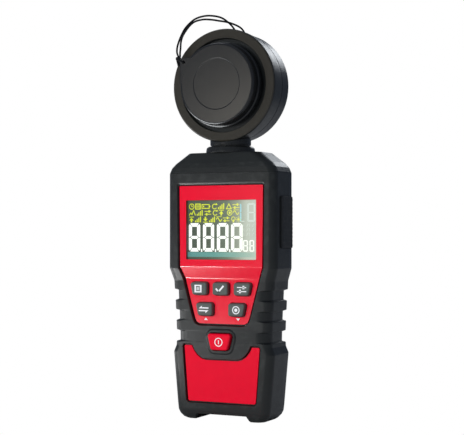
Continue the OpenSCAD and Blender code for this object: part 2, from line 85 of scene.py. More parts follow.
def area(name, loc, at, size, power, size_y=None, color=(1, 1, 1), glossy=True, diffuse=True):
    d = bpy.data.lights.new(name, "AREA")
    d.shape = "RECTANGLE"
    d.size = size
    d.size_y = size_y or size
    d.energy = power
    d.color = color
    o = bpy.data.objects.new(name, d)
    scene.collection.objects.link(o)
    o.location = loc
    look(o, at)
    o.visible_camera = False
    o.visible_glossy = glossy
    o.visible_diffuse = diffuse
    return o


world = bpy.data.worlds.new("studio")
scene.world = world
world.use_nodes = True
wn = world.node_tree.nodes
wl = world.node_tree.links
wn.clear()
w_out = wn.new("ShaderNodeOutputWorld")
w_mix = wn.new("ShaderNodeMixShader")
w_path = wn.new("ShaderNodeLightPath")
w_cam = wn.new("ShaderNodeBackground")
w_env = wn.new("ShaderNodeBackground")
w_cam.inputs["Color"].default_value = (1, 1, 1, 1)
w_cam.inputs["Strength"].default_value = 1.0
w_env.inputs["Color"].default_value = (0.82, 0.92, 1.10, 1)
w_env.inputs["Strength"].default_value = 0.28
# glossy rays see a dim room, so that the dark plastics keep their depth
w_dim = wn.new("ShaderNodeBackground")
w_dim.inputs["Color"].default_value = (0.75, 0.90, 1.20, 1)
w_dim.inputs["Strength"].default_value = 0.13
w_gl = wn.new("ShaderNodeMixShader")
wl.new(w_path.outputs["Is Glossy Ray"], w_gl.inputs[0])
wl.new(w_env.outputs[0], w_gl.inputs[1])
wl.new(w_dim.outputs[0], w_gl.inputs[2])
wl.new(w_path.outputs["Is Camera Ray"], w_mix.inputs[0])
wl.new(w_gl.outputs[0], w_mix.inputs[1])
wl.new(w_cam.outputs[0], w_mix.inputs[2])
wl.new(w_mix.outputs[0], w_out.inputs["Surface"])

scene.view_settings.view_transform = "Standard"
scene.view_settings.look = "None"


# ---------------------------------------------------------------- mesh helpers
def new_object(name, verts, faces):
    me = bpy.data.meshes.new(name)
    me.from_pydata([(v[0] * MM, v[1] * MM, (v[2] + LIFT) * MM) for v in verts], [], faces)
    me.validate()
    o = bpy.data.objects.new(name, me)
    scene.collection.objects.link(o)
    return o


def skin(rings, name="part", caps=True):
    """Closed surface over rings of equal length."""
    n = len(rings[0])
    verts = [p for r in rings for p in r]
    faces = []
    for k in range(len(rings) - 1):
        a, b = k * n, (k + 1) * n
        for i in range(n):
            j = (i + 1) % n
            faces.append((a + i, a + j, b + j, b + i))
    if caps:
        faces.append(tuple(range(n - 1, -1, -1)))
        faces.append(tuple((len(rings) - 1) * n + i for i in range(n)))
    o = new_object(name, verts, faces)
    fix_normals(o)
    return o


def fix_normals(o):
    import bmesh
    bm = bmesh.new()
    bm.from_mesh(o.data)
    bmesh.ops.recalc_face_normals(bm, faces=bm.faces)
    bm.to_mesh(o.data)
    bm.free()


def round_poly(points, radius, steps=6):
    """A polygon with its corners rounded; radius is one number or one per corner."""
    n = len(points)
    rr = radius if hasattr(radius, "__len__") else [radius] * n
    out = []
    for i in range(n):
        p = np.array(points[i], float)
        a = np.array(points[i - 1], float) - p
        b = np.array(points[(i + 1) % n], float) - p
        la, lb = np.linalg.norm(a), np.linalg.norm(b)
        a, b = a / la, b / lb
        ang = math.acos(max(-1, min(1, float(a @ b))))
        if rr[i] <= 1e-6 or ang > math.pi - 0.02:
            out.append(tuple(p))
            continue
        d = min(rr[i] / math.tan(ang / 2), 0.49 * la, 0.49 * lb)
        r = d * math.tan(ang / 2)
        c = p + (a + b) / np.linalg.norm(a + b) * (r / math.sin(ang / 2))
        s, e = p + a * d, p + b * d
        a0 = math.atan2(*(s - c)[::-1])
        a1 = math.atan2(*(e - c)[::-1])
        da = (a1 - a0 + math.pi) % (2 * math.pi) - math.pi
        for k in range(steps + 1):
            t = a0 + da * k / steps
            out.append((c[0] + r * math.cos(t), c[1] + r * math.sin(t)))
    return out


def grow(points, d):
    """Polygon offset outwards by d, for outlines with fairly even corners."""
    p = np.array(points, float)
    area2 = float(np.sum(p[:, 0] * np.roll(p[:, 1], -1) - np.roll(p[:, 0], -1) * p[:, 1]))
    s = 1.0 if area2 > 0 else -1.0
    e = np.roll(p, -1, axis=0) - p
    ln = np.linalg.norm(e, axis=1, keepdims=True)
    e = e / np.maximum(ln, 1e-9)
    nrm = np.stack([e[:, 1], -e[:, 0]], 1) * s
    prev = np.roll(nrm, 1, axis=0)
    m = nrm + prev
    m = m / np.maximum(np.linalg.norm(m, axis=1, keepdims=True), 1e-9)
    k = 1.0 / np.maximum(np.sum(m * nrm, axis=1, keepdims=True), 0.35)
    return [tuple(q) for q in p + m * k * d]


def y_prism(outline, levels, name="prism"):
    """Outline in x, z carried along Y; levels are (y, growth of the outline)."""
    return skin([[(q[0], y, q[1]) for q in grow(outline, g)] for y, g in levels], name)


def x_prism(profile, half, name="prism"):
    """Profile in y, z carried along X."""
    return skin([[(x, q[0], q[1]) for q in profile] for x in (-half, half)], name)


def box(lo, hi, name="box"):
    return skin([[(lo[0], lo[1], z), (hi[0], lo[1], z), (hi[0], hi[1], z), (lo[0], hi[1], z)] for z in (lo[2], hi[2])], name)


def revolve(profile, axis="y", centre=(0, 0), seg=128, name="turned"):
    """Closed profile [radius, along] turned about Y through (x, z), or about Z through (x, y)."""
    verts, faces, idx = [], [], []
    for r, t in profile:
        if abs(r) < 1e-6:
            verts.append((centre[0], t, centre[1]) if axis == "y" else (centre[0], centre[1], t))
            idx.append([len(verts) - 1] * seg)
        else:
            row = []
            for k in range(seg):
                a = 2 * math.pi * k / seg
                u, v = r * math.cos(a), r * math.sin(a)
                verts.append((centre[0] + u, t, centre[1] + v) if axis == "y" else (centre[0] + u, centre[1] + v, t))
                row.append(len(verts) - 1)
            idx.append(row)
    n = len(profile)
    for i in range(n):
        a, b = idx[i], idx[(i + 1) % n]
        for k in range(seg):
            j = (k + 1) % seg
            f = [a[k], a[j], b[j], b[k]]
            g = [f[0]]
            for q in f[1:]:
                if q not in g:
                    g.append(q)
            if len(g) >= 3:
                faces.append(tuple(g))
    o = new_object(name, verts, faces)
    fix_normals(o)
    return o


def cyl(axis, centre, r, lo, hi, seg=48, name="cyl"):
    prof = [(0, lo), (r, lo), (r, hi), (0, hi)]
    return revolve(prof, axis, centre, seg, name)


def xcyl(y, z, r, lo, hi, seg=40, name="cyl"):
    return skin([[(x, y + r * math.cos(2 * math.pi * k / seg), z + r * math.sin(2 * math.pi * k / seg)) for k in range(seg)] for x in (lo, hi)], name)


def apply_mods(o):
    dg = bpy.context.evaluated_depsgraph_get()
    me = bpy.data.meshes.new_from_object(o.evaluated_get(dg))
    old = o.data
    o.modifiers.clear()
    o.data = me
    bpy.data.meshes.remove(old)
    return o


def combine(base, others, op="DIFFERENCE", keep=False):
    for c in others:
        m = base.modifiers.new("b", "BOOLEAN")
        m.operation = op
        m.solver = "MANIFOLD"
        m.object = c
        apply_mods(base)
        if not keep:
            bpy.data.objects.remove(c)
    return base


def tidy(o, bevel=0.25, seg=2, angle=32, flat=0.6, smooth=34, merge=0.01):
    """Joins coplanar faces, rounds the hard edges and shades the rest smooth."""
    import bmesh
    bm = bmesh.new()
    bm.from_mesh(o.data)
    bmesh.ops.remove_doubles(bm, verts=bm.verts, dist=merge * MM)
    bmesh.ops.dissolve_degenerate(bm, edges=bm.edges, dist=merge * MM)
    if flat:
        bmesh.ops.dissolve_limit(bm, angle_limit=math.radians(flat), use_dissolve_boundaries=False, verts=bm.verts, edges=bm.edges)
    bmesh.ops.recalc_face_normals(bm, faces=bm.faces)
    bm.to_mesh(o.data)
    bm.free()
    if bevel:
        m = o.modifiers.new("bevel", "BEVEL")
        m.width = bevel * MM
        m.segments = seg
        m.limit_method = "ANGLE"
        m.angle_limit = math.radians(angle)
        m.use_clamp_overlap = True
        m.miter_outer = "MITER_ARC"
        m.harden_normals = False
        apply_mods(o)
    for p in o.data.polygons:
        p.use_smooth = True
    w = o.modifiers.new("wn", "WEIGHTED_NORMAL")
    w.keep_sharp = True
    w.weight = 60
    o.data.set_sharp_from_angle(angle=math.radians(smooth))
    apply_mods(o)
    return o


def join(objs, name):
    """One object from several, their materials kept."""
    verts, faces, mats, mi = [], [], [], []
    for o in objs:
        base = len(verts)
        verts += [tuple(v.co) for v in o.data.vertices]
        slot_of = {}
        for i, m in enumerate(o.data.materials):
            if m not in mats:
                mats.append(m)
            slot_of[i] = mats.index(m)
        for p in o.data.polygons:
            faces.append(tuple(base + v for v in p.vertices))
            mi.append(slot_of.get(p.material_index, 0))
    me = bpy.data.meshes.new(name)
    me.from_pydata(verts, [], faces)
    for m in mats:
        me.materials.append(m)
    for p, k in zip(me.polygons, mi):
        p.material_index = k
        p.use_smooth = True
    for o in objs:
        bpy.data.objects.remove(o)
    out = bpy.data.objects.new(name, me)
    scene.collection.objects.link(out)
    return out


def place(o, name, body, mat, replaces=()):
    o.name = name
    o.data.name = name
    if mat is not None:
        o.data.materials.clear()
        o.data.materials.append(mat)
    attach(o, body)
    if replaces:
        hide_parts(*replaces)
    return o


# ---------------------------------------------------------------- materials
def srgb(r, g, b):
    def f(c):
        c = c / 255.0
        return c / 12.92 if c <= 0.04045 else ((c + 0.055) / 1.055) ** 2.4
    return (f(r), f(g), f(b), 1.0)


def plastic(name, color, rough=0.45, rough_var=0.08, grain=0.05, grain_scale=5200, mottle=0.10, mottle_scale=90, wear=0.0,
            spec=0.5, coat=0.0, sheen=0.0, fine=True, metallic=0.0, emission=None):
    """Moulded plastic: a spark-eroded grain, slow variation in tone and gloss, and rubbed edges."""
    m = bpy.data.materials.new(name)
    m.use_nodes = True
    n, l = m.node_tree.nodes, m.node_tree.links
    b = n["Principled BSDF"]
    b.inputs["Metallic"].default_value = metallic
    b.inputs["Specular IOR Level"].default_value = spec
    b.inputs["Coat Weight"].default_value = coat
    b.inputs["Coat Roughness"].default_value = 0.12
    b.inputs["Sheen Weight"].default_value = sheen
    tc = n.new("ShaderNodeTexCoord")
    slow = n.new("ShaderNodeTexNoise")
    slow.inputs["Scale"].default_value = mottle_scale
    slow.inputs["Detail"].default_value = 5
    slow.inputs["Roughness"].default_value = 0.62
    l.new(tc.outputs["Object"], slow.inputs["Vector"])
    ramp = n.new("ShaderNodeMapRange")
    ramp.inputs["From Min"].default_value = 0.3
    ramp.inputs["From Max"].default_value = 0.7
    ramp.inputs["To Min"].default_value = 1.0 - mottle
    ramp.inputs["To Max"].default_value = 1.0 + mottle
    l.new(slow.outputs["Fac"], ramp.inputs["Value"])
    hsv = n.new("ShaderNodeHueSaturation")
    hsv.inputs["Color"].default_value = color
    l.new(ramp.outputs["Result"], hsv.inputs["Value"])
    last = hsv.outputs["Color"]
    if wear > 0:
        geo = n.new("ShaderNodeNewGeometry")
        edge = n.new("ShaderNodeMapRange")
        edge.inputs["From Min"].default_value = 0.53
        edge.inputs["From Max"].default_value = 0.62
        l.new(geo.outputs["Pointiness"], edge.inputs["Value"])
        spots = n.new("ShaderNodeTexNoise")
        spots.inputs["Scale"].default_value = 260
        spots.inputs["Detail"].default_value = 6
        l.new(tc.outputs["Object"], spots.inputs["Vector"])
        thr = n.new("ShaderNodeMapRange")
        thr.inputs["From Min"].default_value = 0.48
        thr.inputs["From Max"].default_value = 0.62
        l.new(spots.outputs["Fac"], thr.inputs["Value"])
        mul = n.new("ShaderNodeMath")
        mul.operation = "MULTIPLY"
        l.new(edge.outputs["Result"], mul.inputs[0])
        l.new(thr.outputs["Result"], mul.inputs[1])
        amt = n.new("ShaderNodeMath")
        amt.operation = "MULTIPLY"
        amt.inputs[1].default_value = wear
        l.new(mul.outputs[0], amt.inputs[0])
        mix = n.new("ShaderNodeMix")
        mix.data_type = "RGBA"
        l.new(amt.outputs[0], mix.inputs[0])
        l.new(last, mix.inputs[6])
        mix.inputs[7].default_value = tuple(min(1.0, c * 2.2 + 0.02) for c in color[:3]) + (1,)
        last = mix.outputs[2]
    l.new(last, b.inputs["Base Color"])
    fine_n = n.new("ShaderNodeTexNoise")
    fine_n.inputs["Scale"].default_value = grain_scale
    fine_n.inputs["Detail"].default_value = 3
    l.new(tc.outputs["Object"], fine_n.inputs["Vector"])
    rr = n.new("ShaderNodeMapRange")
    rr.inputs["From Min"].default_value = 0.25
    rr.inputs["From Max"].default_value = 0.75
    rr.inputs["To Min"].default_value = max(0.02, rough - rough_var)
    rr.inputs["To Max"].default_value = min(1.0, rough + rough_var)
    mid = n.new("ShaderNodeTexNoise")
    mid.inputs["Scale"].default_value = mottle_scale * 4
    mid.inputs["Detail"].default_value = 4
    l.new(tc.outputs["Object"], mid.inputs["Vector"])
    l.new(mid.outputs["Fac"], rr.inputs["Value"])
    l.new(rr.outputs["Result"], b.inputs["Roughness"])
    if grain > 0:
        bump = n.new("ShaderNodeBump")
        bump.inputs["Strength"].default_value = 1.0
        bump.inputs["Distance"].default_value = grain * 0.001
        l.new(fine_n.outputs["Fac"], bump.inputs["Height"])
        l.new(bump.outputs["Normal"], b.inputs["Normal"])
    if emission:
        b.inputs["Emission Color"].default_value = emission[0]
        b.inputs["Emission Strength"].default_value = emission[1]
    return m


M = {}
M["shell"] = plastic("shell_black", srgb(34, 36, 35), rough=0.34, rough_var=0.04, grain=0.004, grain_scale=3800, wear=0.25)
M["shell_rear"] = plastic("shell_rear_black", srgb(34, 36, 39), rough=0.30, rough_var=0.03, grain=0.002, grain_scale=3800, wear=0.25)
M["ring"] = plastic("ring_bronze_black", srgb(49, 46, 39), rough=0.36, rough_var=0.04, grain=0.003, grain_scale=4200, mottle=0.06, wear=0.2)
M["neck"] = plastic("neck_black", srgb(34, 35, 35), rough=0.28, rough_var=0.03, grain=0.002, wear=0.2)
# dark red painted on the walls of the window opening as shade
M["red_shade"] = plastic("red_edge", srgb(84, 6, 20), rough=0.4, grain=0.0)
M["red"] = plastic("red_gloss", srgb(240, 2, 44), spec=0.34, rough=0.17, rough_var=0.02, grain=0.002, grain_scale=4200, mottle=0.035, wear=0.0)
M["key"] = plastic("key_grey", srgb(90, 96, 92), rough=0.36, grain=0.008, grain_scale=4200, mottle=0.05, wear=0.3)
M["pad"] = plastic("pad_rubber", srgb(38, 40, 42), rough=0.62, grain=0.02, grain_scale=3000, mottle=0.12)
M["cap"] = plastic("cap_black", srgb(32, 33, 34), rough=0.21, rough_var=0.02, grain=0.0008, grain_scale=4200, mottle=0.05, wear=0.35)
M["print"] = plastic("white_print", srgb(252, 252, 252), rough=0.5, grain=0.0, mottle=0.03)
# black for the inner parts, also used as painted shade on the upper faces of the right-hand grip ribs
M["dark_inner"] = plastic("inner_black", srgb(26, 27, 28), rough=0.6, grain=0.01)


# ---------------------------------------------------------------- body form
def mirrored(p):
    return list(p) + [(-x, y) for x, y in reversed(p)]


def shade_ledges(o):
    """The upper faces of the grip ribs on the right take a darker, rougher material: painted shade along the top of
    each rib.
    """
    o.data.materials.append(M["dark_inner"])
    k = len(o.data.materials) - 1
    for p in o.data.polygons:
        c = p.center / MM
        if p.normal.z > 0.55 and 33.5 < c.z - LIFT < 62 and c.x > 17.5:
            p.material_index = k


ROWS = [
    (-3.0, 21.2, -8.6, 9.6, 13.2, 4), (-2.2, 22.6, -9.8, 10.3, 14.3, 4), (-0.5, 24.1, -10.7, 11.3, 15.0, 4), (1.4, 24.95, -11, 11.8, 15.3, 4),
    (4.8, 25.35, -11, 11.9, 15.3, 4), (30.0, 27.6, -11, 11.9, 15.3, 4), (33.2, 26.2, -11, 11.9, 15.3, 4), (35.2, 26.15, -11, 11.9, 15.3, 4.2),
    (35.7, 24.95, -10.98, 11.9, 15.3, 6.6), (40.5, 25.05, -10.98, 11.9, 15.3, 6.6), (41.0, 26.1, -11, 11.9, 15.3, 4.2), (45.6, 26.3, -11, 11.9, 15.3, 4.2),
    (46.2, 25.2, -10.98, 11.9, 15.3, 6.4), (50.6, 25.4, -10.98, 11.9, 15.3, 6.4), (51.1, 26.6, -11, 11.9, 15.3, 4.2), (55.6, 26.8, -11, 11.9, 15.3, 4.2),
    (56.2, 25.6, -10.98, 11.9, 15.3, 6.0), (60.7, 25.8, -10.98, 11.9, 15.3, 6.0), (61.2, 27.2, -11, 11.9, 15.3, 4), (65.5, 27.5, -11, 11.7, 15.3, 4),
    (71.6, 29.5, -12, 11.2, 15.3, 4),
    (108.0, 29.5, -12, 11.2, 15.3, 4), (116.0, 29.5, -12, 11.2, 11.6, 4), (118.6, 29.5, -12, 11.2, 11.3, 4), (121.2, 28.4, -11.9, 11.2, 11.3, 4.4),
    (123.4, 26.4, -11.6, 11.1, 11.2, 4.8), (127.9, 20.5, -10.7, 10.7, 10.8, 5.5), (128.5, 19.8, -10.4, 10.4, 10.5, 5.5)]
HOLLOW = [
    (1.9, 21.0, -8.0, 9.0, 12.6, 2.6), (7.0, 23.0, -8.4, 9.4, 13.5, 2.6), (30.0, 24.6, -8.4, 9.4, 13.5, 2.6), (34.0, 22.8, -8.4, 9.4, 13.5, 2.6),
    (62.0, 22.9, -8.4, 9.4, 13.5, 2.6), (66.0, 25.0, -8.4, 9.4, 13.5, 2.6), (72.0, 27.6, -10.2, 9.4, 13.5, 2.6), (106.0, 27.6, -10.2, 9.4, 13.5, 2.6),
    (115.0, 27.6, -10.2, 9.4, 9.7, 2.6), (118.1, 27.6, -10.2, 9.4, 9.6, 2.6), (122.8, 24.6, -9.8, 9.3, 9.4, 2.6), (126.5, 19.6, -8.9, 8.9, 9.0, 2.6)]
SEAM_Y = 4.5


def soften(rows, d=0.32, n=3):
    """Rows of the form with each bend in height eased over about d."""
    p = [np.array(r, float) for r in rows]
    out = [p[0]]
    for i in range(1, len(p) - 1):
        a, b, c = p[i - 1], p[i], p[i + 1]
        la, lc = np.linalg.norm(b - a), np.linalg.norm(c - b)
        da, dc = min(d, 0.42 * la), min(d, 0.42 * lc)
        s, e = b + (a - b) / la * da, b + (c - b) / lc * dc
        for k in range(n + 1):
            t = k / n
            out.append((1 - t) ** 2 * s + 2 * t * (1 - t) * b + t * t * e)
    out.append(p[-1])
    return out


def arc_pts(cx, cy, r, a0, a1, n):
    return [(cx + r * math.cos(math.radians(a0 + (a1 - a0) * i / n)), cy + r * math.sin(math.radians(a0 + (a1 - a0) * i / n))) for i in range(n + 1)]


def section(w, f, b, h, r, n=9):
    e = w - r
    ho = min(21.2, e - 0.3)
    hi = ho - 2.6
    return (arc_pts(e, f + r, r, -90, 0, n) + arc_pts(e, b - r, r, 0, 90, n) + [(ho, b + 0.001), (hi, h), (-hi, h), (-ho, b + 0.001)]
            + arc_pts(-e, b - r, r, 90, 180, n) + arc_pts(-e, f + r, r, 180, 270, n))


def form(rows, n=9, name="form"):
    return skin([[(x, y, q[0]) for x, y in section(q[1], q[2], q[3], q[4], q[5], n)] for q in rows], name)


UPPER = mirrored([(22.6, 112.5), (23.0, 112.1), (22.6, 72.4), (20.3, 66.6), (15.0, 47.2), (14.0, 45.1), (12.2, 44.2)])
LOWER = [(16.3, 33.6), (20.2, 33.6), (20.7, 33.0), (18.6, 6.5), (17.9, 5.8), (-17.9, 5.8), (-18.6, 6.5), (-20.7, 33.0), (-20.2, 33.6), (-16.3, 33.6),
         (-16.2, 33.2), (-15.2, 31.1), (-13.2, 28.7), (-11.0, 27.2), (-8.6, 26.6), (8.6, 26.6), (11.0, 27.2), (13.2, 28.7), (15.2, 31.1), (16.2, 33.2)]
HOLD = [(-16.7, 64.8), (-7.3, 64.8), (-7.3, 58.5), (-15.2, 58.5)]
SET = [(-4.2, 64.8), (4.2, 64.8), (4.2, 58.5), (-4.2, 58.5)]
FUNC = [(-x, z) for x, z in reversed(HOLD)]
UNIT = [(-13.6, 54.7), (-4.3, 54.7), (-4.3, 48.3), (-12.2, 48.3)]
RECORD = [(-x, z) for x, z in reversed(UNIT)]
POWER = [(-6.6, 39.8), (6.6, 39.8), (4.5, 31.7), (-4.5, 31.7)]
KEYS = {"hold_key": HOLD, "set_key": SET, "func_key": FUNC, "unit_key": UNIT, "record_key": RECORD}


def lerp(z, pts):
    if z <= pts[0][0]:
        return pts[0][1]
    for (a, u), (b, v) in zip(pts, pts[1:]):
        if z <= b:
            return u + (v - u) * (z - a) / (b - a)
    return pts[-1][1]


def panel_face(z):
    return lerp(z, [(66.6, -9.8), (72.4, -11.3)])


def body_face(z):
    return lerp(z, [(65.5, -11.0), (71.6, -12.0)])


def with_levels(outline, zs):
    """The outline with extra points wherever it crosses the heights given."""
    out = []
    n = len(outline)
    for i in range(n):
        a, b = outline[i], outline[(i + 1) % n]
        out.append(tuple(a))
        cross = []
        for z in zs:
            if (a[1] - z) * (b[1] - z) < -1e-9:
                t = (z - a[1]) / (b[1] - a[1])
                cross.append((t, (a[0] + (b[0] - a[0]) * t, z)))
        out += [c for _, c in sorted(cross)]
    return out


def seat_cutter(outline, floor, face, brim, wide, clear=0.36, lift=0.0, name="seat"):
    """Recess for a panel with a chamfered rim: straight up to the panel's face, then flared to the outer face."""
    rings = [[(x, floor, z) for x, z in grow(outline, clear)],
             [(x, face(z), z) for x, z in grow(outline, clear)],
             [(x, brim(z) - 0.15, z + (lift if z > 110 else 0)) for x, z in grow(outline, wide)],
             [(x, -20, z + (lift if z > 110 else 0)) for x, z in grow(outline, wide)]]
    return skin(rings, name)


rows_out = soften(ROWS)
rows_in = [np.array(r, float) for r in HOLLOW]


def outer_form():
    return form(rows_out, 9, "outer")


def inner_form():
    return form(rows_in, 4, "inner")


def foot_cut():
    prof = round_poly([(-15.6, -4.2), (-13.6, -0.1), (13.6, -0.1), (15.6, -4.2)], [0, 0.5, 0.5, 0], 4)
    return y_prism(prof, [(20, 0), (-20, 0)], "foot_cut")


def pockets():
    out = []
    for s in (-1, 1):
        x0, x1 = sorted((s * 28.4, s * 33.0))
        out.append(box((x0, -5.4, 81.4), (x1, 7.4, 107.1), "pocket"))
    return out


upper_round = with_levels(round_poly(UPPER, [0.25, 0.25, 2.5, 2.5, 1.2, 1.0, 1.0, 1.0, 1.0, 1.2, 2.5, 2.5, 0.25, 0.25], 4), [72.4, 71.6, 66.6, 65.5])
lower_round = round_poly(LOWER, [0.25, 0.4, 0.4, 0.35, 0.3, 0.3, 0.35, 0.4, 0.4, 0.25, 0.5, 2, 2.5, 2.5, 2, 2, 2.5, 2.5, 2, 0.5], 4)

# ---------------------------------------------------------------- front shell
shell = outer_form()
combine(shell, [inner_form()])
combine(shell, [box((-60, SEAM_Y, -30), (60, 60, 200)), box((-60, -60, 118.5), (60, 60, 200))])
seat = y_prism(mirrored([(23.4, 114.2), (24.4, 112.6), (24.0, 72), (21.8, 66.2), (16.4, 46.6), (15.4, 44.2), (13, 43)]), [(-6, 0), (-12, 0)])
seat_prof = x_prism([(-11, 115), (-10.4, 42), (-7.0, 42), (-7.0, 67.8), (-8.2, 73.4), (-8.2, 115)], 30)
combine(seat, [seat_prof], "INTERSECT")
combine(shell, [seat], "UNION")
collar = y_prism(round_poly(POWER, 2.0, 6), [(-9.5, 2.3), (-11.0, 2.3), (-11.42, 1.75), (-11.5, 1.45)], "collar")
combine(shell, [collar], "UNION")
combine(shell, [
    seat_cutter(upper_round, -8.9, panel_face, body_face, 0.95, lift=1.0),
    y_prism(round_poly([(-20.5, 74.3), (20.5, 74.3), (20.5, 106.7), (-20.5, 106.7)], 0.5, 2), [(-4, 0), (-20, 0)]),
    y_prism(mirrored([(19.2, 66.4), (14.5, 47.4), (13.4, 45.4)]), [(-4, 0), (-20, 0)]),
    seat_cutter(lower_round, -9.35, lambda z: -10.15, lambda z: -11.0, 0.75),
    y_prism(round_poly(POWER, 1.5, 6), [(-4, 0.25), (-11.1, 0.25), (-11.7, 0.7), (-13, 0.7)]),
    foot_cut()] + pockets())
tidy(shell, bevel=0.22, angle=38)
place(shell, "front_shell_detail", "body", M["shell"], ["front_shell"])
shade_ledges(shell)

# ---------------------------------------------------------------- rear shell
DOOR = (-15.2, 15.2, 12.0, 58.0)
rear = outer_form()
combine(rear, [inner_form()])
combine(rear, [box((-60, -60, -30), (60, SEAM_Y, 200)), box((-60, -60, 118.5), (60, 60, 200))])
combine(rear, [
    box((DOOR[0], 11, DOOR[2]), (DOOR[1], 19, DOOR[3])),
    box((-4.4, 13.95, 57), (4.4, 19, 61.2)),
    box((-17.7, 0.3, 8.3), (17.7, 12.5, 61.7)),
    xcyl(14.4, 13.1, 0.6, -16.1, 16.1),
    foot_cut()] + pockets()
    + [cyl("y", (x, z), 2.6, 9.1, 20, 40) for x, z in ((-20.4, 15.5), (20.4, 15.5), (-24.2, 110), (24.2, 110))])
bosses = []
for x, z in ((-20.4, 15.5), (20.4, 15.5), (-24.2, 110), (24.2, 110)):
    bosses.append(cyl("y", (x, z), 3.2, 5.0, 9.05, 40))
combine(rear, bosses, "UNION")
tidy(rear, bevel=0.22, angle=38)
place(rear, "rear_shell_detail", "body", M["shell_rear"], ["rear_shell"])
shade_ledges(rear)

# ---------------------------------------------------------------- shoulder cover
shoulder = outer_form()
combine(shoulder, [inner_form()])
combine(shoulder, [box((-60, -60, -30), (60, 60, 118.6)), cyl("z", (0, 0), 8.65, 110, 140, 96)])
tidy(shoulder, bevel=0.22, angle=38)
place(shoulder, "shoulder_cover_detail", "body", M["shell"], ["shoulder_cover"])

# ---------------------------------------------------------------- red panels
panel = y_prism(upper_round, [(-4, -0.22), (-20, -0.22)], "upper")
prof = round_poly([(-11.3, 113.5), (-11.3, 72.4), (-9.8, 66.6), (-9.8, 43), (-8.3, 43), (-8.3, 67.2), (-9.8, 73.2), (-9.8, 113.5)], [0, 2.2, 2.2, 0, 0, 2, 2, 0], 4)
combine(panel, [x_prism(prof, 30)], "INTERSECT")
window_hole = round_poly([(-19.0, 76.0), (19.0, 76.0), (19.0, 105.1), (-19.0, 105.1)], 0.5, 4)
cutters = [y_prism(window_hole, [(-4, 0), (-10.9, 0), (-11.2, 0.06), (-11.45, 0.28), (-13, 0.28)])]
for pts in KEYS.values():
    cutters.append(y_prism(round_poly(pts, 1.35, 6), [(-4, 0.28), (-9.62, 0.28), (-9.9, 0.5), (-13, 0.5)]))
combine(panel, cutters)
tidy(panel, bevel=0.18, angle=38)
place(panel, "upper_panel_detail", "body", M["red"], ["upper_panel"])
# the walls of the window opening get the dark red: painted shade
panel.data.materials.append(M["red_shade"])
for p in panel.data.polygons:
    c, nn = p.center / MM, p.normal
    if abs(nn.y) < 0.6 and abs(c.x) < 19.6 and 75.4 < c.z - LIFT < 105.7 and c.y > -11.35:
        p.material_index = 1

low = y_prism(lower_round, [(-9.4, -0.14), (-10.04, -0.14), (-10.15, -0.17), (-10.2, -0.23)], "lower")
tidy(low, bevel=0.0, angle=38)
place(low, "lower_panel_detail", "body", M["red"], ["lower_panel"])

# ---------------------------------------------------------------- keys
key_parts = {}
SWITCH = {"hold_key": (-11.6, 61.6), "set_key": (0, 61.6), "func_key": (11.6, 61.6), "unit_key": (-8.7, 51.5), "record_key": (8.7, 51.5), "power_key": (0, 35.8)}


def key_cap(name, pts, face, back, radius, crown=0.12):
    o = round_poly(pts, radius, 6)
    levels = [(back + 0.8, 0.6), (back, 0.6), (back - 0.02, 0.0), (face + 1.0, 0.0), (face + 0.62, -0.07), (face + 0.34, -0.2), (face + 0.14, -0.42),
              (face + 0.04, -0.7), (face, -1.05)]
    k = y_prism(o, levels, name)
    stem = cyl("y", SWITCH[name], 1.4, back + 0.5, -5.6, 24)
    combine(k, [stem], "UNION")
    return tidy(k, bevel=0.0, smooth=40)


for name, pts in KEYS.items():
    key_parts[name] = key_cap(name, pts, -12.3, -8.1, 1.25)
key_parts["power_key"] = key_cap("power_key", POWER, -13.6, -8.2, 1.35)
for name, k in key_parts.items():
    place(k, name + "_cap", name, M["red"] if name == "power_key" else M["key"], [name])


# ---------------------------------------------------------------- thin printed marks
def strip(points, width, closed=False):
    """Outline polygons of a line of the given width, as convex quads."""
    out = []
    n = len(points)
    for i in range(n if closed else n - 1):
        a, b = np.array(points[i], float), np.array(points[(i + 1) % n], float)
        d = (b - a) / max(np.linalg.norm(b - a), 1e-9)
        s = np.array([-d[1], d[0]]) * width / 2
        e = d * width * 0.5 if (closed or 0 < i) else 0 * d
        g = d * width * 0.5 if (closed or i < n - 2) else 0 * d
        out.append([tuple(a - e - s), tuple(b + g - s), tuple(b + g + s), tuple(a - e + s)])
    return out


def ring(cx, cz, r, width, n=40, a0=0, a1=360):
    out = []
    for k in range(n):
        t0, t1 = math.radians(a0 + (a1 - a0) * k / n), math.radians(a0 + (a1 - a0) * (k + 1) / n)
        ro, ri = r + width / 2, r - width / 2
        out.append([(cx + ri * math.cos(t0), cz + ri * math.sin(t0)), (cx + ro * math.cos(t0), cz + ro * math.sin(t0)),
                    (cx + ro * math.cos(t1), cz + ro * math.sin(t1)), (cx + ri * math.cos(t1), cz + ri * math.sin(t1))])
    return out


def disc(cx, cz, r, n=32):
    return [[(cx + r * math.cos(2 * math.pi * k / n), cz + r * math.sin(2 * math.pi * k / n)) for k in range(n)]]


def rect(x0, z0, x1, z1):
    return [[(x0, z0), (x1, z0), (x1, z1), (x0, z1)]]


def print_mark(polys, y, thick, name):
    """Raised ink: each polygon is a thin plate standing proud of the surface at y."""
    verts, faces = [], []
    for p in polys:
        area2 = sum(p[i][0] * p[(i + 1) % len(p)][1] - p[(i + 1) % len(p)][0] * p[i][1] for i in range(len(p)))
        q = p if area2 > 0 else list(reversed(p))
        n = len(q)
        b = len(verts)
        yy = y if callable(y) else (lambda x, z: y)
        verts += [(x, yy(x, z), z) for x, z in q] + [(x, yy(x, z) - thick, z) for x, z in q]
        faces.append(tuple(b + i for i in range(n - 1, -1, -1)))
        faces.append(tuple(b + n + i for i in range(n)))
        for i in range(n):
            j = (i + 1) % n
            faces.append((b + i, b + j, b + n + j, b + n + i))
    me_o = new_object(name, verts, faces)
    fix_normals(me_o)
    return me_o


def shift(polys, dx, dz, s=1.0):
    return [[(x * s + dx, z * s + dz) for x, z in p] for p in polys]


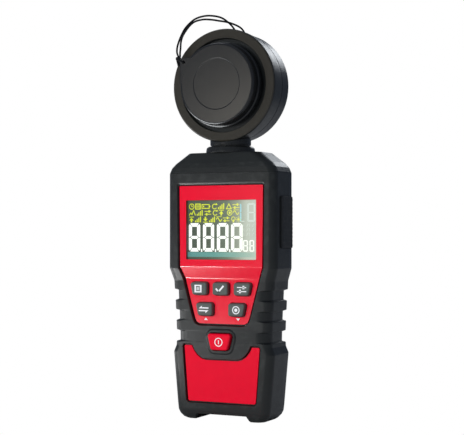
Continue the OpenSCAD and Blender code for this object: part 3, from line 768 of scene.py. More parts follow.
# ---------------------------------------------------------------- grip pads, window, battery door
for s, nm in ((-1, "left"), (1, "right")):
    zs = [81.6]
    prof = []
    # ribbed face, one rounded rib every 2 mm between two plain ends
    outer = [(28.45, 81.65), (30.1, 81.65), (30.5, 81.8), (30.6, 82.1)]
    for i in range(12):
        z0 = 82.35 + 2.0 * i
        outer += [(30.6, z0), (30.63, z0 + 0.1), (30.66, z0 + 0.3), (30.7, z0 + 0.75), (30.66, z0 + 1.2), (30.63, z0 + 1.4), (30.6, z0 + 1.5)]
    outer += [(30.6, 106.4), (30.5, 106.7), (30.1, 106.85), (28.45, 106.9)]
    rings = []
    for y, depth in ((-5.2, 0.7), (-5.12, 0.4), (-4.95, 0.16), (-4.7, 0.03), (-4.4, 0.0), (6.4, 0.0), (6.7, 0.03), (6.95, 0.16), (7.12, 0.4), (7.2, 0.7)):
        rings.append([(s * max(28.45, x - depth if x > 28.5 else x), y, z) for x, z in outer])
    pad = skin(rings, nm + "_pad")
    tidy(pad, bevel=0.0, flat=0.3)
    place(pad, nm + "_grip_pad_detail", "body", M["pad"], [nm + "_grip_pad"])

win = y_prism(round_poly([(-18.95, 76.05), (18.95, 76.05), (18.95, 105.05), (-18.95, 105.05)], 0.5, 4), [(-9.68, 0), (-10.08, 0), (-10.16, -0.08)], "window")
flange = y_prism([(-20.2, 74.7), (20.2, 74.7), (20.2, 106.3), (-20.2, 106.3)], [(-9.0, 0), (-9.69, 0)], "flange")
combine(win, [flange], "UNION")
tidy(win, bevel=0.0)

door = box((-14.95, 13.6, 13.1), (14.95, 15.3, 57.7), "door")
combine(door, [xcyl(14.4, 13.1, 0.9, -14.95, 14.95, 48), box((-4.1, 14.1, 57.0), (4.1, 15.3, 59.8))], "UNION")
door_cuts = [box((-6, 14.8, 49 + 1.8 * i), (6, 16, 49.8 + 1.8 * i)) for i in range(4)]
# arrow pressed into the door beside the grip grooves, and the slot under the latch tongue
door_cuts += [skin([[(-2.4, y, 46.6), (2.4, y, 46.6), (0, y, 43.4)] for y in (14.95, 16)], "arrow")]
door_cuts += [box((-5.3, 13.0, 54.2), (-4.5, 16, 58.5)), box((4.5, 13.0, 54.2), (5.3, 16, 58.5))]
combine(door, door_cuts)
tidy(door, bevel=0.2, angle=38)
pins = [xcyl(14.4, 13.1, 0.5, s * 15.2 - 0.35, s * 15.2 + 0.35, 24, "pin") for s in (-1, 1)]
tab_up = None
door = join([door] + pins, "door")
place(door, "battery_door_detail", "battery_door", M["shell_rear"], ["battery_door"])

# ---------------------------------------------------------------- neck
bush = revolve(round_poly([(7.05, 120.4), (8.6, 120.4), (8.6, 128.52), (12.2, 128.52), (12.15, 129.7), (11.9, 131.0), (11.0, 131.7), (7.05, 131.7)],
                          [0, 0, 0, 0.3, 0.8, 0.8, 0.6, 0.3], 4), "z", (0, 0), 128, "bush")
tidy(bush, bevel=0.0, flat=0.05)
place(bush, "neck_bush_detail", "body", M["neck"], ["neck_bush"])

ENVELOPE = [(0, -20), (27.88, -20), (27.88, 20), (0, 20)]
stem = revolve(round_poly([(3, 115.5), (7, 115.5), (7, 118.0), (5.95, 118.0), (5.95, 119.1), (7, 119.1), (7, 131.85), (9.6, 131.85), (9.6, 132.4),
                           (10.15, 132.4), (10.15, 136.1), (5.0, 136.1), (5.0, 136.7), (3, 136.7)],
                          [0, 0.3, 0, 0, 0, 0, 0, 0.15, 0, 0.5, 0, 0, 0, 0], 4), "z", (0, 0), 128, "stem")
combine(stem, [revolve(ENVELOPE, "y", (0, HZ), 192, "envelope")])
tube5 = revolve([(3, 130), (5.0, 130), (5.0, 137.7), (3, 137.7)], "z", (0, 0), 96, "tube5")
combine(stem, [tube5], "UNION")
flange5 = revolve([(3, 137.5), (6.4, 137.5), (6.4, 138.9), (3, 138.9)], "z", (0, 0), 96, "flange5")
combine(flange5, [box((-9, -5.2, 136), (9, 7, 140))], "INTERSECT")
combine(stem, [flange5], "UNION")
tidy(stem, bevel=0.12, angle=42, flat=0.05)
place(stem, "head_spindle_detail", "sensor_head", M["neck"], ["head_spindle"])

# ---------------------------------------------------------------- head
def head_turn(profile, name, mat, replaces, body="sensor_head", seg=160, bore=True, radii=0.25, steps=3, extra=None, bevel=0.0, flat=0.05):
    o = revolve(round_poly(profile, radii, steps), "y", (0, HZ), seg, name)
    if bore:
        combine(o, [cyl("z", (0, 0), 5.1, 128, 140, 64)])
    if extra:
        extra(o)
    tidy(o, bevel=bevel, flat=flat, smooth=36)
    return place(o, name, body, mat, replaces)


RING = [(23.0, -8.55), (23.25, -8.8), (27.0, -8.8), (27.55, -8.5), (27.8, -7.9), (27.75, -4.4), (27.45, 1.05), (27.05, 1.47), (25.9, 1.47), (25.1, -5.4), (19.35, -5.4),
        (19.35, -6.45), (23.0, -6.45)]
front_ring = head_turn(RING, "head_front_ring_detail", M["ring"], ["head_front_ring"], radii=[0.1, 0.1, 0.25, 0.3, 0.5, 0, 0.1, 0.05, 0, 0, 0, 0.1, 0.3])
# only the faces turned to the front keep the bronze tone; the rest of the ring takes the shell black, which on the bore
# wall is painted shade of the gap behind the cap
front_ring.data.materials.append(M["shell"])
for p in front_ring.data.polygons:
    c = p.center
    if p.normal.y > -0.80 or c.y > -8.2 * MM:
        p.material_index = 1


def eyelet(o):
    lug = skin([[(x, q[0], q[1]) for q in round_poly([(10.6, HZ + 17.2), (12.9, HZ + 17.2), (15.3, HZ + 18.2), (15.3, HZ + 21.0), (12.9, HZ + 22.0), (10.6, HZ + 22.0)],
                                                     [0, 0.8, 1.6, 1.6, 0.8, 0], 5)] for x in (-1.4, 1.4)], "lug")
    combine(o, [lug], "UNION")
    combine(o, [xcyl(13.4, HZ + 19.6, 1.0, -5, 5, 32)])
    wells = []
    for a in (90, 205, 335):
        wells.append(cyl("y", (23.2 * math.cos(math.radians(a)), HZ + 23.2 * math.sin(math.radians(a))), 2.2, 9.4, 20, 40))
    combine(o, wells)
    posts = []
    for a in (90, 205, 335):
        posts.append(cyl("y", (23.2 * math.cos(math.radians(a)), HZ + 23.2 * math.sin(math.radians(a))), 2.5, 1.55, 9.35, 40))
    combine(o, posts, "UNION")


REAR = [(26.95, 1.53), (27.34, 1.95), (27.3, 5.0), (27.3, 8.8), (27.0, 10.0), (26.3, 10.7), (25.6, 11.0), (0, 11.0), (0, 9.2), (23.8, 9.2), (25.1, 8.4), (25.8, 6.8), (25.9, 1.53)]
head_turn(REAR, "head_rear_shell_detail", M["shell_rear"], ["head_rear_shell"], radii=[0.05, 0.15, 0, 1.0, 0.8, 0.8, 0.8, 0, 0, 0.5, 0.5, 0.5, 0],
          steps=4, extra=eyelet, bevel=0.12)

# dome and its retaining ring
def dome_arc(R, cy, r0, r1, n):
    return [(r0 + (r1 - r0) * i / n, cy - math.sqrt(R * R - (r0 + (r1 - r0) * i / n) ** 2)) for i in range(n + 1)]


dome_prof = dome_arc(26.6, 13.1, 0, 17.9, 28) + [(17.9, -6.3), (18.6, -6.2), (18.6, -5.4), (16.2, -5.4)] + dome_arc(25.1, 13.1, 16.2, 0, 20)
dome = revolve(dome_prof, "y", (0, HZ), 160, "dome")
tidy(dome, bevel=0.0, flat=0.02)
head_turn([(18.1, -6.5), (18.1, -8.75), (18.35, -9.0), (19.0, -9.0), (19.2, -8.8), (19.2, -5.35), (21.0, -5.35), (21.0, -4.3), (18.7, -4.3), (18.7, -6.28), (18.1, -6.28)],
          "dome_retainer_detail", M["dark_inner"], ["dome_retainer"], bore=False, radii=[0, 0.15, 0.15, 0.15, 0.15, 0, 0.2, 0.2, 0, 0, 0])


# ---------------------------------------------------------------- cap
def cap_extras(o):
    tab = y_prism(round_poly([(-20.1, HZ + 1), (-20.1, HZ + 12.6), (-19.2, HZ + 13.6), (-10, HZ + 13.6), (-9, HZ)], [0, 0.8, 0.8, 0.5, 0], 4),
                  [(-14.3, 0), (-15.85, 0), (-16.1, -0.1), (-16.19, -0.3)], "tab")
    combine(o, [tab], "UNION")
    combine(o, [revolve([(0, -14.7), (18.6, -14.7), (19.3, -13.9), (19.3, -5), (0, -5)], "y", (0, HZ), 160, "cavity"),
                revolve([(0, -20), (12.75, -20), (12.75, -16.2), (12.5, -16.1), (12.2, -15.9), (0, -15.9)], "y", (0, HZ), 160, "dish"),
                cyl("y", (-17.9, HZ + 11.4), 0.9, -20, -10, 32)])


CAP = [(0, -16.2), (18.9, -16.2), (19.6, -16.0), (20.0, -15.3), (20.15, -14.3), (20.3, -11.2), (20.9, -10.9), (20.9, -9.8), (20.7, -8.8), (20.6, -6.9), (0, -6.9)]
cap = head_turn(CAP, "sensor_cap_detail", M["cap"], ["sensor_cap"], body="cap", bore=False,
                radii=[0, 1.0, 0.9, 0.9, 0.8, 0.2, 0.3, 0.3, 0.3, 0.2, 0], steps=5, extra=cap_extras, bevel=0.0)


# ---------------------------------------------------------------- display
def ramp_material(name, stops, lo, hi, axis=0, emit=0.5, rough=0.35, base=0.35, noise=0.05):
    """Flat panel whose tone runs across it as a painted reflection, partly lit from behind."""
    m = bpy.data.materials.new(name)
    m.use_nodes = True
    n, l = m.node_tree.nodes, m.node_tree.links
    b = n["Principled BSDF"]
    tc = n.new("ShaderNodeTexCoord")
    sep = n.new("ShaderNodeSeparateXYZ")
    l.new(tc.outputs["Object"], sep.inputs[0])
    mr = n.new("ShaderNodeMapRange")
    mr.inputs["From Min"].default_value = lo * MM
    mr.inputs["From Max"].default_value = hi * MM
    l.new(sep.outputs[axis], mr.inputs["Value"])
    cr = n.new("ShaderNodeValToRGB")
    els = cr.color_ramp.elements
    els[0].position, els[0].color = stops[0][0], stops[0][1]
    els[1].position, els[1].color = stops[-1][0], stops[-1][1]
    for p, c in stops[1:-1]:
        e = els.new(p)
        e.color = c
    l.new(mr.outputs["Result"], cr.inputs[0])
    nz = n.new("ShaderNodeTexNoise")
    nz.inputs["Scale"].default_value = 240
    nz.inputs["Detail"].default_value = 4
    l.new(tc.outputs["Object"], nz.inputs["Vector"])
    vr = n.new("ShaderNodeMapRange")
    vr.inputs["To Min"].default_value = 1 - noise
    vr.inputs["To Max"].default_value = 1 + noise
    l.new(nz.outputs["Fac"], vr.inputs["Value"])
    hs = n.new("ShaderNodeHueSaturation")
    l.new(cr.outputs["Color"], hs.inputs["Color"])
    l.new(vr.outputs["Result"], hs.inputs["Value"])
    l.new(hs.outputs["Color"], b.inputs["Emission Color"])
    b.inputs["Emission Strength"].default_value = emit
    hb = n.new("ShaderNodeHueSaturation")
    hb.inputs["Value"].default_value = base
    l.new(hs.outputs["Color"], hb.inputs["Color"])
    l.new(hb.outputs["Color"], b.inputs["Base Color"])
    rr = n.new("ShaderNodeMapRange")
    rr.inputs["To Min"].default_value = rough - 0.05
    rr.inputs["To Max"].default_value = rough + 0.05
    l.new(nz.outputs["Fac"], rr.inputs["Value"])
    l.new(rr.outputs["Result"], b.inputs["Roughness"])
    return m


# the glow of the display field and the strip stands for the backlight; their run from dark at the left to pale at the
# right is a painted reflection
M["lcd"] = ramp_material("display_field", [(0.0, srgb(74, 86, 74)), (0.30, srgb(84, 94, 78)), (0.58, srgb(112, 124, 106)), (0.74, srgb(160, 168, 150)),
                                           (0.86, srgb(200, 208, 192)), (1.0, srgb(204, 212, 198))], -19.6, 18.2, emit=0.80, base=0.25)
M["strip"] = ramp_material("display_strip", [(0.0, srgb(92, 150, 146)), (0.4, srgb(104, 164, 154)), (0.7, srgb(140, 182, 168)), (1.0, srgb(186, 208, 190))],
                           -19.6, 17.4, emit=0.80, base=0.25)
M["lcd_white"] = ramp_material("display_white", [(0.0, srgb(246, 250, 244)), (1.0, srgb(240, 244, 232))], -19, 18, emit=0.92, base=0.5, noise=0.02)
M["lcd_yellow"] = ramp_material("display_yellow", [(0.0, srgb(206, 218, 30)), (0.6, srgb(222, 230, 60)), (1.0, srgb(226, 226, 110))], -19, 10, emit=0.85, base=0.4, noise=0.03)
M["lcd_cyan"] = ramp_material("display_cyan", [(0.0, srgb(156, 218, 230)), (1.0, srgb(178, 222, 222))], 8, 18, emit=0.85, base=0.4, noise=0.03)
M["lcd_faint"] = ramp_material("display_faint", [(0.0, srgb(214, 226, 214)), (1.0, srgb(220, 230, 220))], 8, 18, emit=0.80, base=0.3, noise=0.03)

glass = y_prism(round_poly([(-19.8, 75), (19.8, 75), (19.8, 106), (-19.8, 106)], 0.4, 3), [(-6.6, -0.15), (-6.75, 0), (-8.75, 0), (-8.9, -0.15)], "glass")
tidy(glass, bevel=0.0)
place(glass, "display_glass_detail", "body", M["lcd"], ["display_glass"])

GY = -8.9
U0 = -19.5
U1 = 18.5
VT = 104.6
VH = 28.2


def ux(u):
    return U0 + (U1 - U0) * u


def vz(v):
    return VT - VH * v


def seven(x0, z0, w, h, t, on="abcdefg", g=0.13):
    """Segments of one numeral as convex polygons."""
    x1, z1, zm = x0 + w, z0 + h, z0 + h / 2
    c = 0.42 * t
    hv = t * 0.5
    top = [(x0 + c + g, z1), (x1 - c - g, z1), (x1 - t - g * 0.2, z1 - t), (x0 + t + g * 0.2, z1 - t)]
    left = [(x0, zm + g), (x0 + t * 0.35, zm + g), (x0 + t, zm + hv + g * 0.6), (x0 + t, z1 - t - g), (x0 + c * 0.75, z1 - c * 0.45), (x0, z1 - c * 1.6)]
    mid = [(x0 + t * 0.5, zm), (x0 + t + 0.1, zm + hv * 0.82), (x1 - t - 0.1, zm + hv * 0.82), (x1 - t * 0.5, zm), (x1 - t - 0.1, zm - hv * 0.82), (x0 + t + 0.1, zm - hv * 0.82)]
    fx = lambda p: [(x0 + x1 - x, z) for x, z in p]
    fz = lambda p: [(x, 2 * zm - z) for x, z in p]
    seg = {"a": top, "f": left, "b": fx(left), "g": mid, "d": fz(top), "e": fz(left), "c": fz(fx(left))}
    return [seg[k] for k in on]


white, yellow, cyan, faint, teal = [], [], [], [], []
for u0, u1 in ((0.018, 0.186), (0.226, 0.389), (0.429, 0.597), (0.633, 0.80)):
    white += seven(ux(u0), vz(0.88), ux(u1) - ux(u0), VH * 0.50, 1.78)
for u in (0.206, 0.409, 0.614):
    white += rect(ux(u) - 0.38, vz(0.885), ux(u) + 0.38, vz(0.835))
for u0, u1 in ((0.805, 0.873), (0.895, 0.962)):
    white += seven(ux(u0), vz(0.875), ux(u1) - ux(u0), VH * 0.20, 0.62, g=0.05)
# pale numerals and unlit segments at the upper right
cyan += seven(ux(0.765), vz(0.36), 2.6, VH * 0.32, 0.55, on="ef", g=0.05)
faint += seven(ux(0.765), vz(0.36), 2.6, VH * 0.32, 0.5, on="d", g=0.05)
faint += seven(ux(0.865), vz(0.36), ux(0.975) - ux(0.865), VH * 0.32, 0.85, g=0.07)
for k in range(4):
    for r_ in range(3):
        zz = vz(0.60) + r_ * 2.2
        xx = ux(0.815) + k * 1.5
        faint += strip([(xx, zz), (xx + 0.9 * (k % 2), zz + 1.5)], 0.22)
teal += rect(ux(0.0) - 0.05, vz(0.972), ux(1.0) + 0.05, vz(0.888))


# small pictograms in a unit square, drawn 2.6 tall
def p_clock():
    return ring(1.3, 1.3, 1.12, 0.36) + strip([(1.3, 2.0), (1.3, 1.3), (1.85, 1.3)], 0.28)


def p_pause_box():
    return rect(0.0, 0.05, 0.55, 2.55) + rect(2.05, 0.05, 2.6, 2.55) + rect(0.55, 2.15, 2.05, 2.55) + rect(0.55, 0.05, 2.05, 0.45) + rect(0.85, 0.75, 1.15, 1.85) + rect(1.45, 0.75, 1.75, 1.85)


def p_battery():
    return (strip([(0.2, 0.5), (3.6, 0.5), (3.6, 2.1), (0.2, 2.1)], 0.36, True) + rect(3.8, 0.95, 4.15, 1.65) + rect(0.7, 0.95, 1.25, 1.65))


def p_cycle():
    return ring(1.3, 1.25, 1.0, 0.34, a0=40, a1=330) + [[(1.75, 1.75), (2.75, 1.95), (2.1, 2.75)]]


def p_delta():
    return strip([(0.2, 0.25), (2.5, 0.25), (1.35, 2.3)], 0.36, True)


def p_peak():
    return strip([(0.1, 0.2), (0.9, 1.3), (1.5, 0.6), (2.3, 2.4), (3.2, 0.2)], 0.38)


def p_slider():
    return strip([(0, 0.7), (3.2, 0.7)], 0.3) + rect(0.7, 0.15, 1.35, 1.3) + strip([(0, 1.95), (3.2, 1.95)], 0.3) + rect(1.9, 1.4, 2.55, 2.5)


def p_disc():
    return ring(1.3, 1.3, 1.12, 0.34) + disc(1.3, 1.3, 0.52)


def p_up():
    return [[(0.15, 0.95), (2.35, 0.95), (1.25, 2.1)]] + rect(0.9, 0.1, 1.6, 0.95) + rect(0.15, 2.25, 2.35, 2.6)


def p_down():
    return [[(1.25, 0.5), (2.35, 1.65), (0.15, 1.65)]] + rect(0.9, 1.65, 1.6, 2.5) + rect(0.15, 0.0, 2.35, 0.35)


def p_wave():
    pts = [(x * 0.17, 1.3 + 0.75 * math.sin(x * 0.17 * 2 * math.pi / 2.6)) for x in range(17)]
    return strip(pts, 0.34) + strip([(0, 2.5), (2.7, 2.5)], 0.22)


def p_sun():
    out = disc(1.3, 1.3, 0.55)
    for k in range(8):
        a = math.radians(45 * k)
        out += strip([(1.3 + 0.8 * math.cos(a), 1.3 + 0.8 * math.sin(a)), (1.3 + 1.3 * math.cos(a), 1.3 + 1.3 * math.sin(a))], 0.26)
    return out


def p_lamp():
    return ring(1.2, 1.55, 0.85, 0.3) + rect(0.85, 0.0, 1.55, 0.6) + strip([(1.2, 0.7), (1.2, 1.4)], 0.22)


def p_bars():
    return rect(0, 0.1, 0.5, 0.9) + rect(0.8, 0.1, 1.3, 1.5) + rect(1.6, 0.1, 2.1, 2.1) + rect(2.4, 0.1, 2.9, 2.6)


def put_row(items, v, height):
    s = height / 2.6
    for u, f in items:
        global yellow
        yellow += shift(f(), ux(u), vz(v) - height, s)


put_row([(0.020, p_clock), (0.112, p_pause_box), (0.205, p_battery), (0.355, p_cycle), (0.445, p_bars), (0.560, p_delta), (0.655, p_slider)], 0.034, 3.05)
put_row([(0.020, p_peak), (0.135, p_bars), (0.250, p_slider), (0.365, p_cycle), (0.455, p_up), (0.575, p_disc), (0.665, p_wave)], 0.148, 2.95)
put_row([(0.020, p_up), (0.110, p_bars), (0.225, p_down), (0.315, p_bars), (0.420, p_wave), (0.515, p_slider), (0.630, p_lamp), (0.700, p_sun)], 0.265, 2.95)

art = [print_mark(teal, GY, 0.010, "strip"), print_mark(white, GY, 0.02, "white"), print_mark(yellow, GY, 0.02, "yellow"),
       print_mark(cyan, GY, 0.02, "cyan"), print_mark(faint, GY, 0.02, "faint")]
for o, mat in zip(art, ("strip", "lcd_white", "lcd_yellow", "lcd_cyan", "lcd_faint")):
    o.data.materials.append(M[mat])
art = join(art, "display_segments")
for p in art.data.polygons:
    p.use_smooth = False
place(art, "display_segments", "body", None)

# ---------------------------------------------------------------- marks on the keys and panel
def on_key(name, polys, y, mat="print"):
    o = print_mark(polys, y, 0.03, name)
    for p in o.data.polygons:
        p.use_smooth = False
    return place(o, name + "_mark", name.split("-")[0], M[mat])


def around(polys, cx, cz):
    xs = [q[0] for p in polys for q in p]
    zs = [q[1] for p in polys for q in p]
    return shift(polys, cx - (min(xs) + max(xs)) / 2, cz - (min(zs) + max(zs)) / 2)


on_key("hold_key", around(shift(p_pause_box(), 0, 0, 1.5), -11.9, 61.6), -12.3)
on_key("set_key", around(strip([(-2.1, 0.2), (-0.6, -1.3), (2.1, 1.6)], 0.85), 0, 61.6), -12.3)
on_key("func_key", around(shift(p_slider(), 0, 0, 1.55), 11.9, 61.6), -12.3)
on_key("unit_key", around([[(-2.7, 0.4), (-1.0, 1.85), (-1.0, 0.4)]] + rect(-1.05, 0.4, 2.7, 1.0) + [[(2.7, -0.4), (1.0, -1.85), (1.0, -0.4)]] + rect(-2.7, -1.0, 1.05, -0.4), -8.8, 51.5), -12.3)
on_key("record_key", around(ring(0, 0, 1.75, 0.5, 48) + disc(0, 0, 0.85), 8.8, 51.5), -12.3)
on_key("power_key", around(ring(0, 0, 1.95, 0.42, 56), 0, 35.75) + around(rect(-0.24, -0.95, 0.24, 0.95), 0, 35.75), -13.6)
tri = print_mark([[(-9.85, 46.1), (-7.75, 46.1), (-8.8, 47.35)], [(8.8, 46.1), (9.85, 47.35), (7.75, 47.35)]], -9.8, 0.03, "triangles")
place(tri, "panel_marks", "body", M["print"])


# ---------------------------------------------------------------- tether cord and its knot
ROUTE = [
    (-21.6, -14.6, 176.0), (-22.4, -14.6, 178.2), (-22.5, -14.2, 180.9), (-22.0, -13.5, 183.7), (-21.3, -12.6, 186.4), (-20.2, -11.1, 189.9),
    (-18.5, -9.0, 193.1), (-16.4, -6.5, 195.7), (-13.8, -3.3, 197.3), (-11.0, 0.0, 197.9), (-7.6, 3.9, 197.4), (-5.0, 6.8, 195.4),
    (-2.9, 9.8, 192.2), (-1.9, 12.1, 188.0), (-1.8, 13.3, 184.0), (-1.2, 13.4, 181.3), (1.2, 13.4, 181.1), (2.4, 13.3, 183.4),
    (2.7, 12.4, 187.4), (1.6, 11.0, 191.2), (-0.4, 9.0, 193.3), (-3.9, 5.0, 194.8), (-7.3, 1.4, 195.3), (-10.1, -1.6, 195.6),
    (-13.0, -4.8, 195.4), (-15.8, -8.0, 194.1), (-17.6, -10.0, 192.0), (-19.0, -11.7, 189.2), (-20.1, -13.1, 186.3), (-20.6, -13.9, 183.3),
    (-20.6, -14.3, 180.3), (-20.7, -14.6, 177.8), (-20.6, -14.7, 176.1)]


def smooth_path(pts, n, closed=False):
    p = [np.array(q, float) for q in pts]
    m = len(p)
    out = []
    for i in range(m if closed else m - 1):
        if closed:
            a, b, c, d = p[i - 1], p[i], p[(i + 1) % m], p[(i + 2) % m]
        else:
            a, b, c, d = p[max(i - 1, 0)], p[i], p[i + 1], p[min(i + 2, m - 1)]
        for k in range(n):
            t = k / n
            out.append(0.5 * ((2 * b) + (c - a) * t + (2 * a - 5 * b + 4 * c - d) * t * t + (3 * b - a - 3 * c + d) * t ** 3))
    if not closed:
        out.append(p[-1])
    return out


def tube(path, r, sides=12, closed=False, name="tube", taper=None):
    p = [np.array(q, float) for q in path]
    n = len(p)
    tan = []
    for i in range(n):
        a = p[i - 1] if (closed or i > 0) else p[i]
        b = p[(i + 1) % n] if (closed or i < n - 1) else p[i]
        tan.append((b - a) / np.linalg.norm(b - a))
    s = np.cross(tan[0], [1, 0, 0] if abs(tan[0][0]) < 0.8 else [0, 0, 1])
    s /= np.linalg.norm(s)
    rings = []
    for i in range(n):
        s = s - tan[i] * (s @ tan[i])
        s /= np.linalg.norm(s)
        t = np.cross(tan[i], s)
        rr = r if taper is None else r * taper(i / (n - 1))
        rings.append([tuple(p[i] + rr * (math.cos(2 * math.pi * k / sides) * s + math.sin(2 * math.pi * k / sides) * t)) for k in range(sides)])
    if closed:
        verts = [q for rg in rings for q in rg]
        faces = []
        # close with the twist that matches best
        best = min(range(sides), key=lambda w: sum(np.linalg.norm(np.array(rings[-1][k]) - np.array(rings[0][(k + w) % sides])) for k in range(sides)))
        for i in range(n):
            for k in range(sides):
                j = (k + 1) % sides
                if i < n - 1:
                    faces.append((i * sides + k, i * sides + j, (i + 1) * sides + j, (i + 1) * sides + k))
                else:
                    faces.append((i * sides + k, i * sides + j, (j + best) % sides, (k + best) % sides))
        o = new_object(name, verts, faces)
        fix_normals(o)
    else:
        o = skin(rings, name)
    for f in o.data.polygons:
        f.use_smooth = len(f.vertices) == 4
    return o


def cord_material():
    """Braided black cord: diagonal strands pressed into a soft matt surface."""
    m = plastic("cord_braid", srgb(26, 26, 28), rough=0.72, rough_var=0.08, grain=0.03, grain_scale=2600, mottle=0.25, mottle_scale=420, spec=0.3)
    n, l = m.node_tree.nodes, m.node_tree.links
    b = n["Principled BSDF"]
    tc = n.new("ShaderNodeTexCoord")
    w1 = n.new("ShaderNodeTexWave")
    w1.inputs["Scale"].default_value = 620
    w1.inputs["Distortion"].default_value = 3.0
    w1.bands_direction = "DIAGONAL"
    l.new(tc.outputs["Object"], w1.inputs["Vector"])
    bump = n.new("ShaderNodeBump")
    bump.inputs["Strength"].default_value = 0.8
    bump.inputs["Distance"].default_value = 0.00006
    l.new(w1.outputs["Fac"], bump.inputs["Height"])
    old = b.inputs["Normal"].links[0].from_node
    l.new(bump.outputs["Normal"], old.inputs["Normal"])
    return m


M["cord"] = cord_material()
line = smooth_path(ROUTE, 5)
cord = tube(line, 0.47, 12, name="tether_cord_detail")
cord.data.materials.append(M["cord"])

KN = (-21.35, -15.2, 174.6)
trefoil = []
for k in range(72):
    t = 2 * math.pi * k / 72
    a, b, c = math.sin(t) + 2 * math.sin(2 * t), math.cos(t) - 2 * math.cos(2 * t), -math.sin(3 * t)
    trefoil.append((KN[0] + 0.40 * a - 0.1 * c, KN[1] + 0.42 * c, KN[2] + 0.46 * b))
knot_a = tube(trefoil, 0.42, 12, closed=True, name="knot")
def fore(pts, d=-0.85):
    return [(x, y + d, z) for x, y, z in pts]


ends = [tube(smooth_path(fore(p), 6), 0.42, 12, name="end") for p in (
    [(-21.6, -13.8, 176.3), (-21.5, -14.0, 175.4), (-21.1, -14.6, 174.6)],
    [(-20.6, -13.9, 176.3), (-20.9, -14.1, 175.4), (-21.5, -14.5, 174.7)],
    [(-21.6, -14.6, 174.4), (-21.6, -14.7, 173.2), (-21.3, -14.6, 172.0), (-21.15, -14.5, 171.2)],
    [(-21.2, -14.3, 174.4), (-20.9, -14.2, 173.3), (-20.95, -14.1, 172.3), (-21.1, -14.0, 171.6)],
)]
hole_loop = [(-21.2, -14.2, 174.3), (-20.7, -15.0, 174.1), (-19.7, -15.62, 173.7), (-18.6, -15.66, 173.2), (-17.95, -15.1, 173.0), (-17.9, -14.3, 173.0),
             (-18.1, -13.0, 173.1), (-19.0, -12.9, 173.5), (-20.2, -13.1, 174.0), (-20.9, -13.6, 174.3)]
ends.append(tube(smooth_path(fore(hole_loop), 6, closed=True), 0.40, 12, closed=True, name="loop"))
for o in [knot_a] + ends:
    o.data.materials.append(M["cord"])
knot = join([knot_a] + ends, "tether_knot_detail")
place(knot, "tether_knot_detail", "cap", M["cord"], ["tether_knot"])
cord.name = "tether_cord_detail"
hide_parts("tether_cord")
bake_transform(cord)


# ---------------------------------------------------------------- clear window and dome
def clear_plastic(name, alpha=0.05, rough=0.05):
    m = plastic(name, (0.20, 0.24, 0.22, 1), rough=rough, rough_var=0.02, grain=0.0, mottle=0.03, spec=0.5)
    m.node_tree.nodes["Principled BSDF"].inputs["Alpha"].default_value = alpha
    return m


M["window"] = clear_plastic("window_clear")
place(win, "display_window_detail", "body", M["window"], ["display_window"])

M["opal"] = plastic("opal_dome", srgb(236, 236, 230), rough=0.5, grain=0.004, mottle=0.02)
ob = M["opal"].node_tree.nodes["Principled BSDF"]
ob.inputs["Subsurface Weight"].default_value = 0.35
ob.inputs["Subsurface Scale"].default_value = 0.002
place(dome, "diffuser_dome_detail", "sensor_head", M["opal"], ["diffuser_dome"])

# ---------------------------------------------------------------- materials of the pieces inside
M["board"] = plastic("board_green", srgb(30, 96, 58), rough=0.4, grain=0.006, grain_scale=3000, mottle=0.12, mottle_scale=160)
M["chips"] = plastic("chip_black", srgb(34, 34, 36), rough=0.5, grain=0.004, mottle=0.15)
M["backlight"] = plastic("light_guide_white", srgb(222, 228, 220), rough=0.35, grain=0.003, mottle=0.03)
M["frame"] = plastic("frame_dark", srgb(44, 46, 46), rough=0.5, grain=0.006, mottle=0.1)
M["elastomer"] = plastic("elastomer_stripe", srgb(120, 136, 158), rough=0.6, grain=0.008, grain_scale=2400, mottle=0.2, mottle_scale=300)
M["steel"] = plastic("bright_steel", srgb(190, 190, 186), rough=0.28, rough_var=0.1, grain=0.003, mottle=0.08, metallic=1.0, wear=0.2)
M["black_steel"] = plastic("black_steel", srgb(60, 60, 62), rough=0.38, rough_var=0.1, grain=0.004, mottle=0.15, metallic=0.9, wear=0.6)
M["brass"] = plastic("contact_brass", srgb(196, 174, 118), rough=0.3, rough_var=0.1, grain=0.003, mottle=0.12, metallic=1.0)
M["cell"] = plastic("cell_wrap", srgb(150, 156, 160), rough=0.3, rough_var=0.06, grain=0.003, mottle=0.06, metallic=0.4, wear=0.1)
M["connector"] = plastic("connector_cream", srgb(226, 220, 204), rough=0.45, grain=0.006, mottle=0.05)
M["lead"] = plastic("lead_sheath", srgb(30, 30, 32), rough=0.5, grain=0.01, mottle=0.15)
M["detector"] = plastic("detector_can", srgb(176, 172, 150), rough=0.3, grain=0.003, mottle=0.1, metallic=0.8)
for node, mat in {"display_backlight": "backlight", "display_frame": "frame", "elastomer_strips": "elastomer", "main_board": "board", "board_parts": "chips",
                  "key_switches": "steel", "lead_connector": "connector", "board_screws": "steel", "battery_tray": "frame", "battery_cells": "cell",
                  "battery_springs": "steel", "battery_contacts": "brass", "case_screws": "black_steel", "spindle_clip": "black_steel", "wave_washer": "steel",
                  "photodiode": "detector", "sensor_board": "board", "head_screws": "black_steel", "sensor_lead": "lead"}.items():
    o = frame["nodes"][node]
    o = o if isinstance(o, bpy.types.Object) else bpy.data.objects[o]
    if not o.material_slots:
        o.data.materials.append(M[mat])
    for k in range(len(o.material_slots)):
        o.material_slots[k].material = M[mat]

# ---------------------------------------------------------------- floor and lights
floor = box((-900, -900, -3.0 - LIFT - 1.0), (900, 900, -LIFT - 0.02), "floor")
fm = plastic("floor_white", srgb(205, 205, 205), rough=0.85, grain=0.0, mottle=0.01, mottle_scale=6, spec=0.2)
floor.data.materials.append(fm)
floor.visible_camera = False

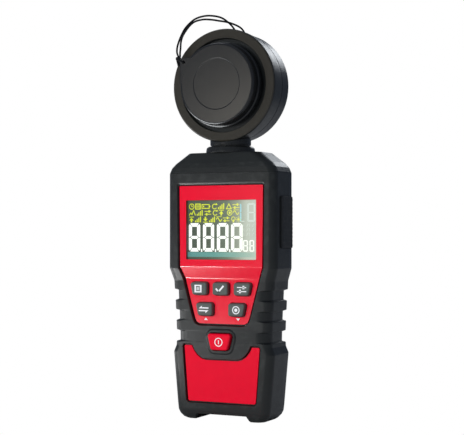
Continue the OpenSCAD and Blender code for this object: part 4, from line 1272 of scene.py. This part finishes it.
# soft fills that only light the surfaces, and separate cards that only show in the gloss
area("key_left", (-0.95, -0.95, 0.32), (0, 0, 0.10), 0.55, 3.0, size_y=0.5, glossy=False)
area("front_soft", (-0.28, -1.25, 0.22), (0, 0, 0.09), 0.7, 9.9, size_y=0.5, glossy=False)
area("top_soft", (0.0, 0.1, 0.9), (0, 0, 0.12), 0.5, 0.7, size_y=0.5, glossy=False)
area("rear_soft", (-0.35, 1.2, 0.45), (0, 0, 0.09), 0.7, 4.5, size_y=0.6, glossy=False)
area("front_card", (-0.30, -1.0, 0.12), (0, 0, 0.14), 0.34, 0.20, size_y=0.26, color=(1.0, 0.97, 0.90), diffuse=False)
area("back_card", (0.05, 0.95, 0.62), (0, 0, 0.13), 0.36, 1.4, size_y=0.30, color=(0.92, 0.96, 1.0), diffuse=False)
left_card = area("left_card", (-0.35, -0.06, 0.002), (-0.35, -0.06, 0.2), 0.26, 1.0, size_y=0.28, diffuse=False)
rim_card = area("rim_card", (-0.15, -0.155, 0.002), (-0.15, -0.155, 0.2), 0.12, 0.4, size_y=0.045, diffuse=False)
band_card = area("band_card", (-0.1725, -0.20, 0.002), (-0.1725, -0.20, 0.2), 0.155, 3.0, size_y=0.08, diffuse=False)


def only(light, names):
    """This light reaches the named objects and nothing else."""
    c = bpy.data.collections.new(light.name + "_reach")
    for o in bpy.data.objects:
        if any(o.name.startswith(n) for n in names):
            c.objects.link(o)
    assert len(c.objects) > 0, names
    light.light_linking.receiver_collection = c


only(band_card, ["upper_panel"])
only(rim_card, ["front_shell"])
low_card = area("low_card", (-0.21, -0.11, 0.002), (-0.21, -0.11, 0.2), 0.30, 1.7, size_y=0.22, color=(0.95, 0.98, 1.0), diffuse=False)
only(low_card, ["sensor_cap"])
high_card = area("high_card", (-0.36, 0.02, 1.0), (0, 0, 0.17), 0.30, 0.9, size_y=0.30, color=(0.95, 0.97, 1.0), diffuse=False)
only(high_card, ["sensor_cap", "head_front_ring"])
cap_card = area("cap_card", (-0.40, -1.0, 0.17), (0, 0, 0.17), 0.20, 0.5, size_y=0.24, color=(1.0, 0.93, 0.80), diffuse=False)
only(cap_card, ["sensor_cap"])

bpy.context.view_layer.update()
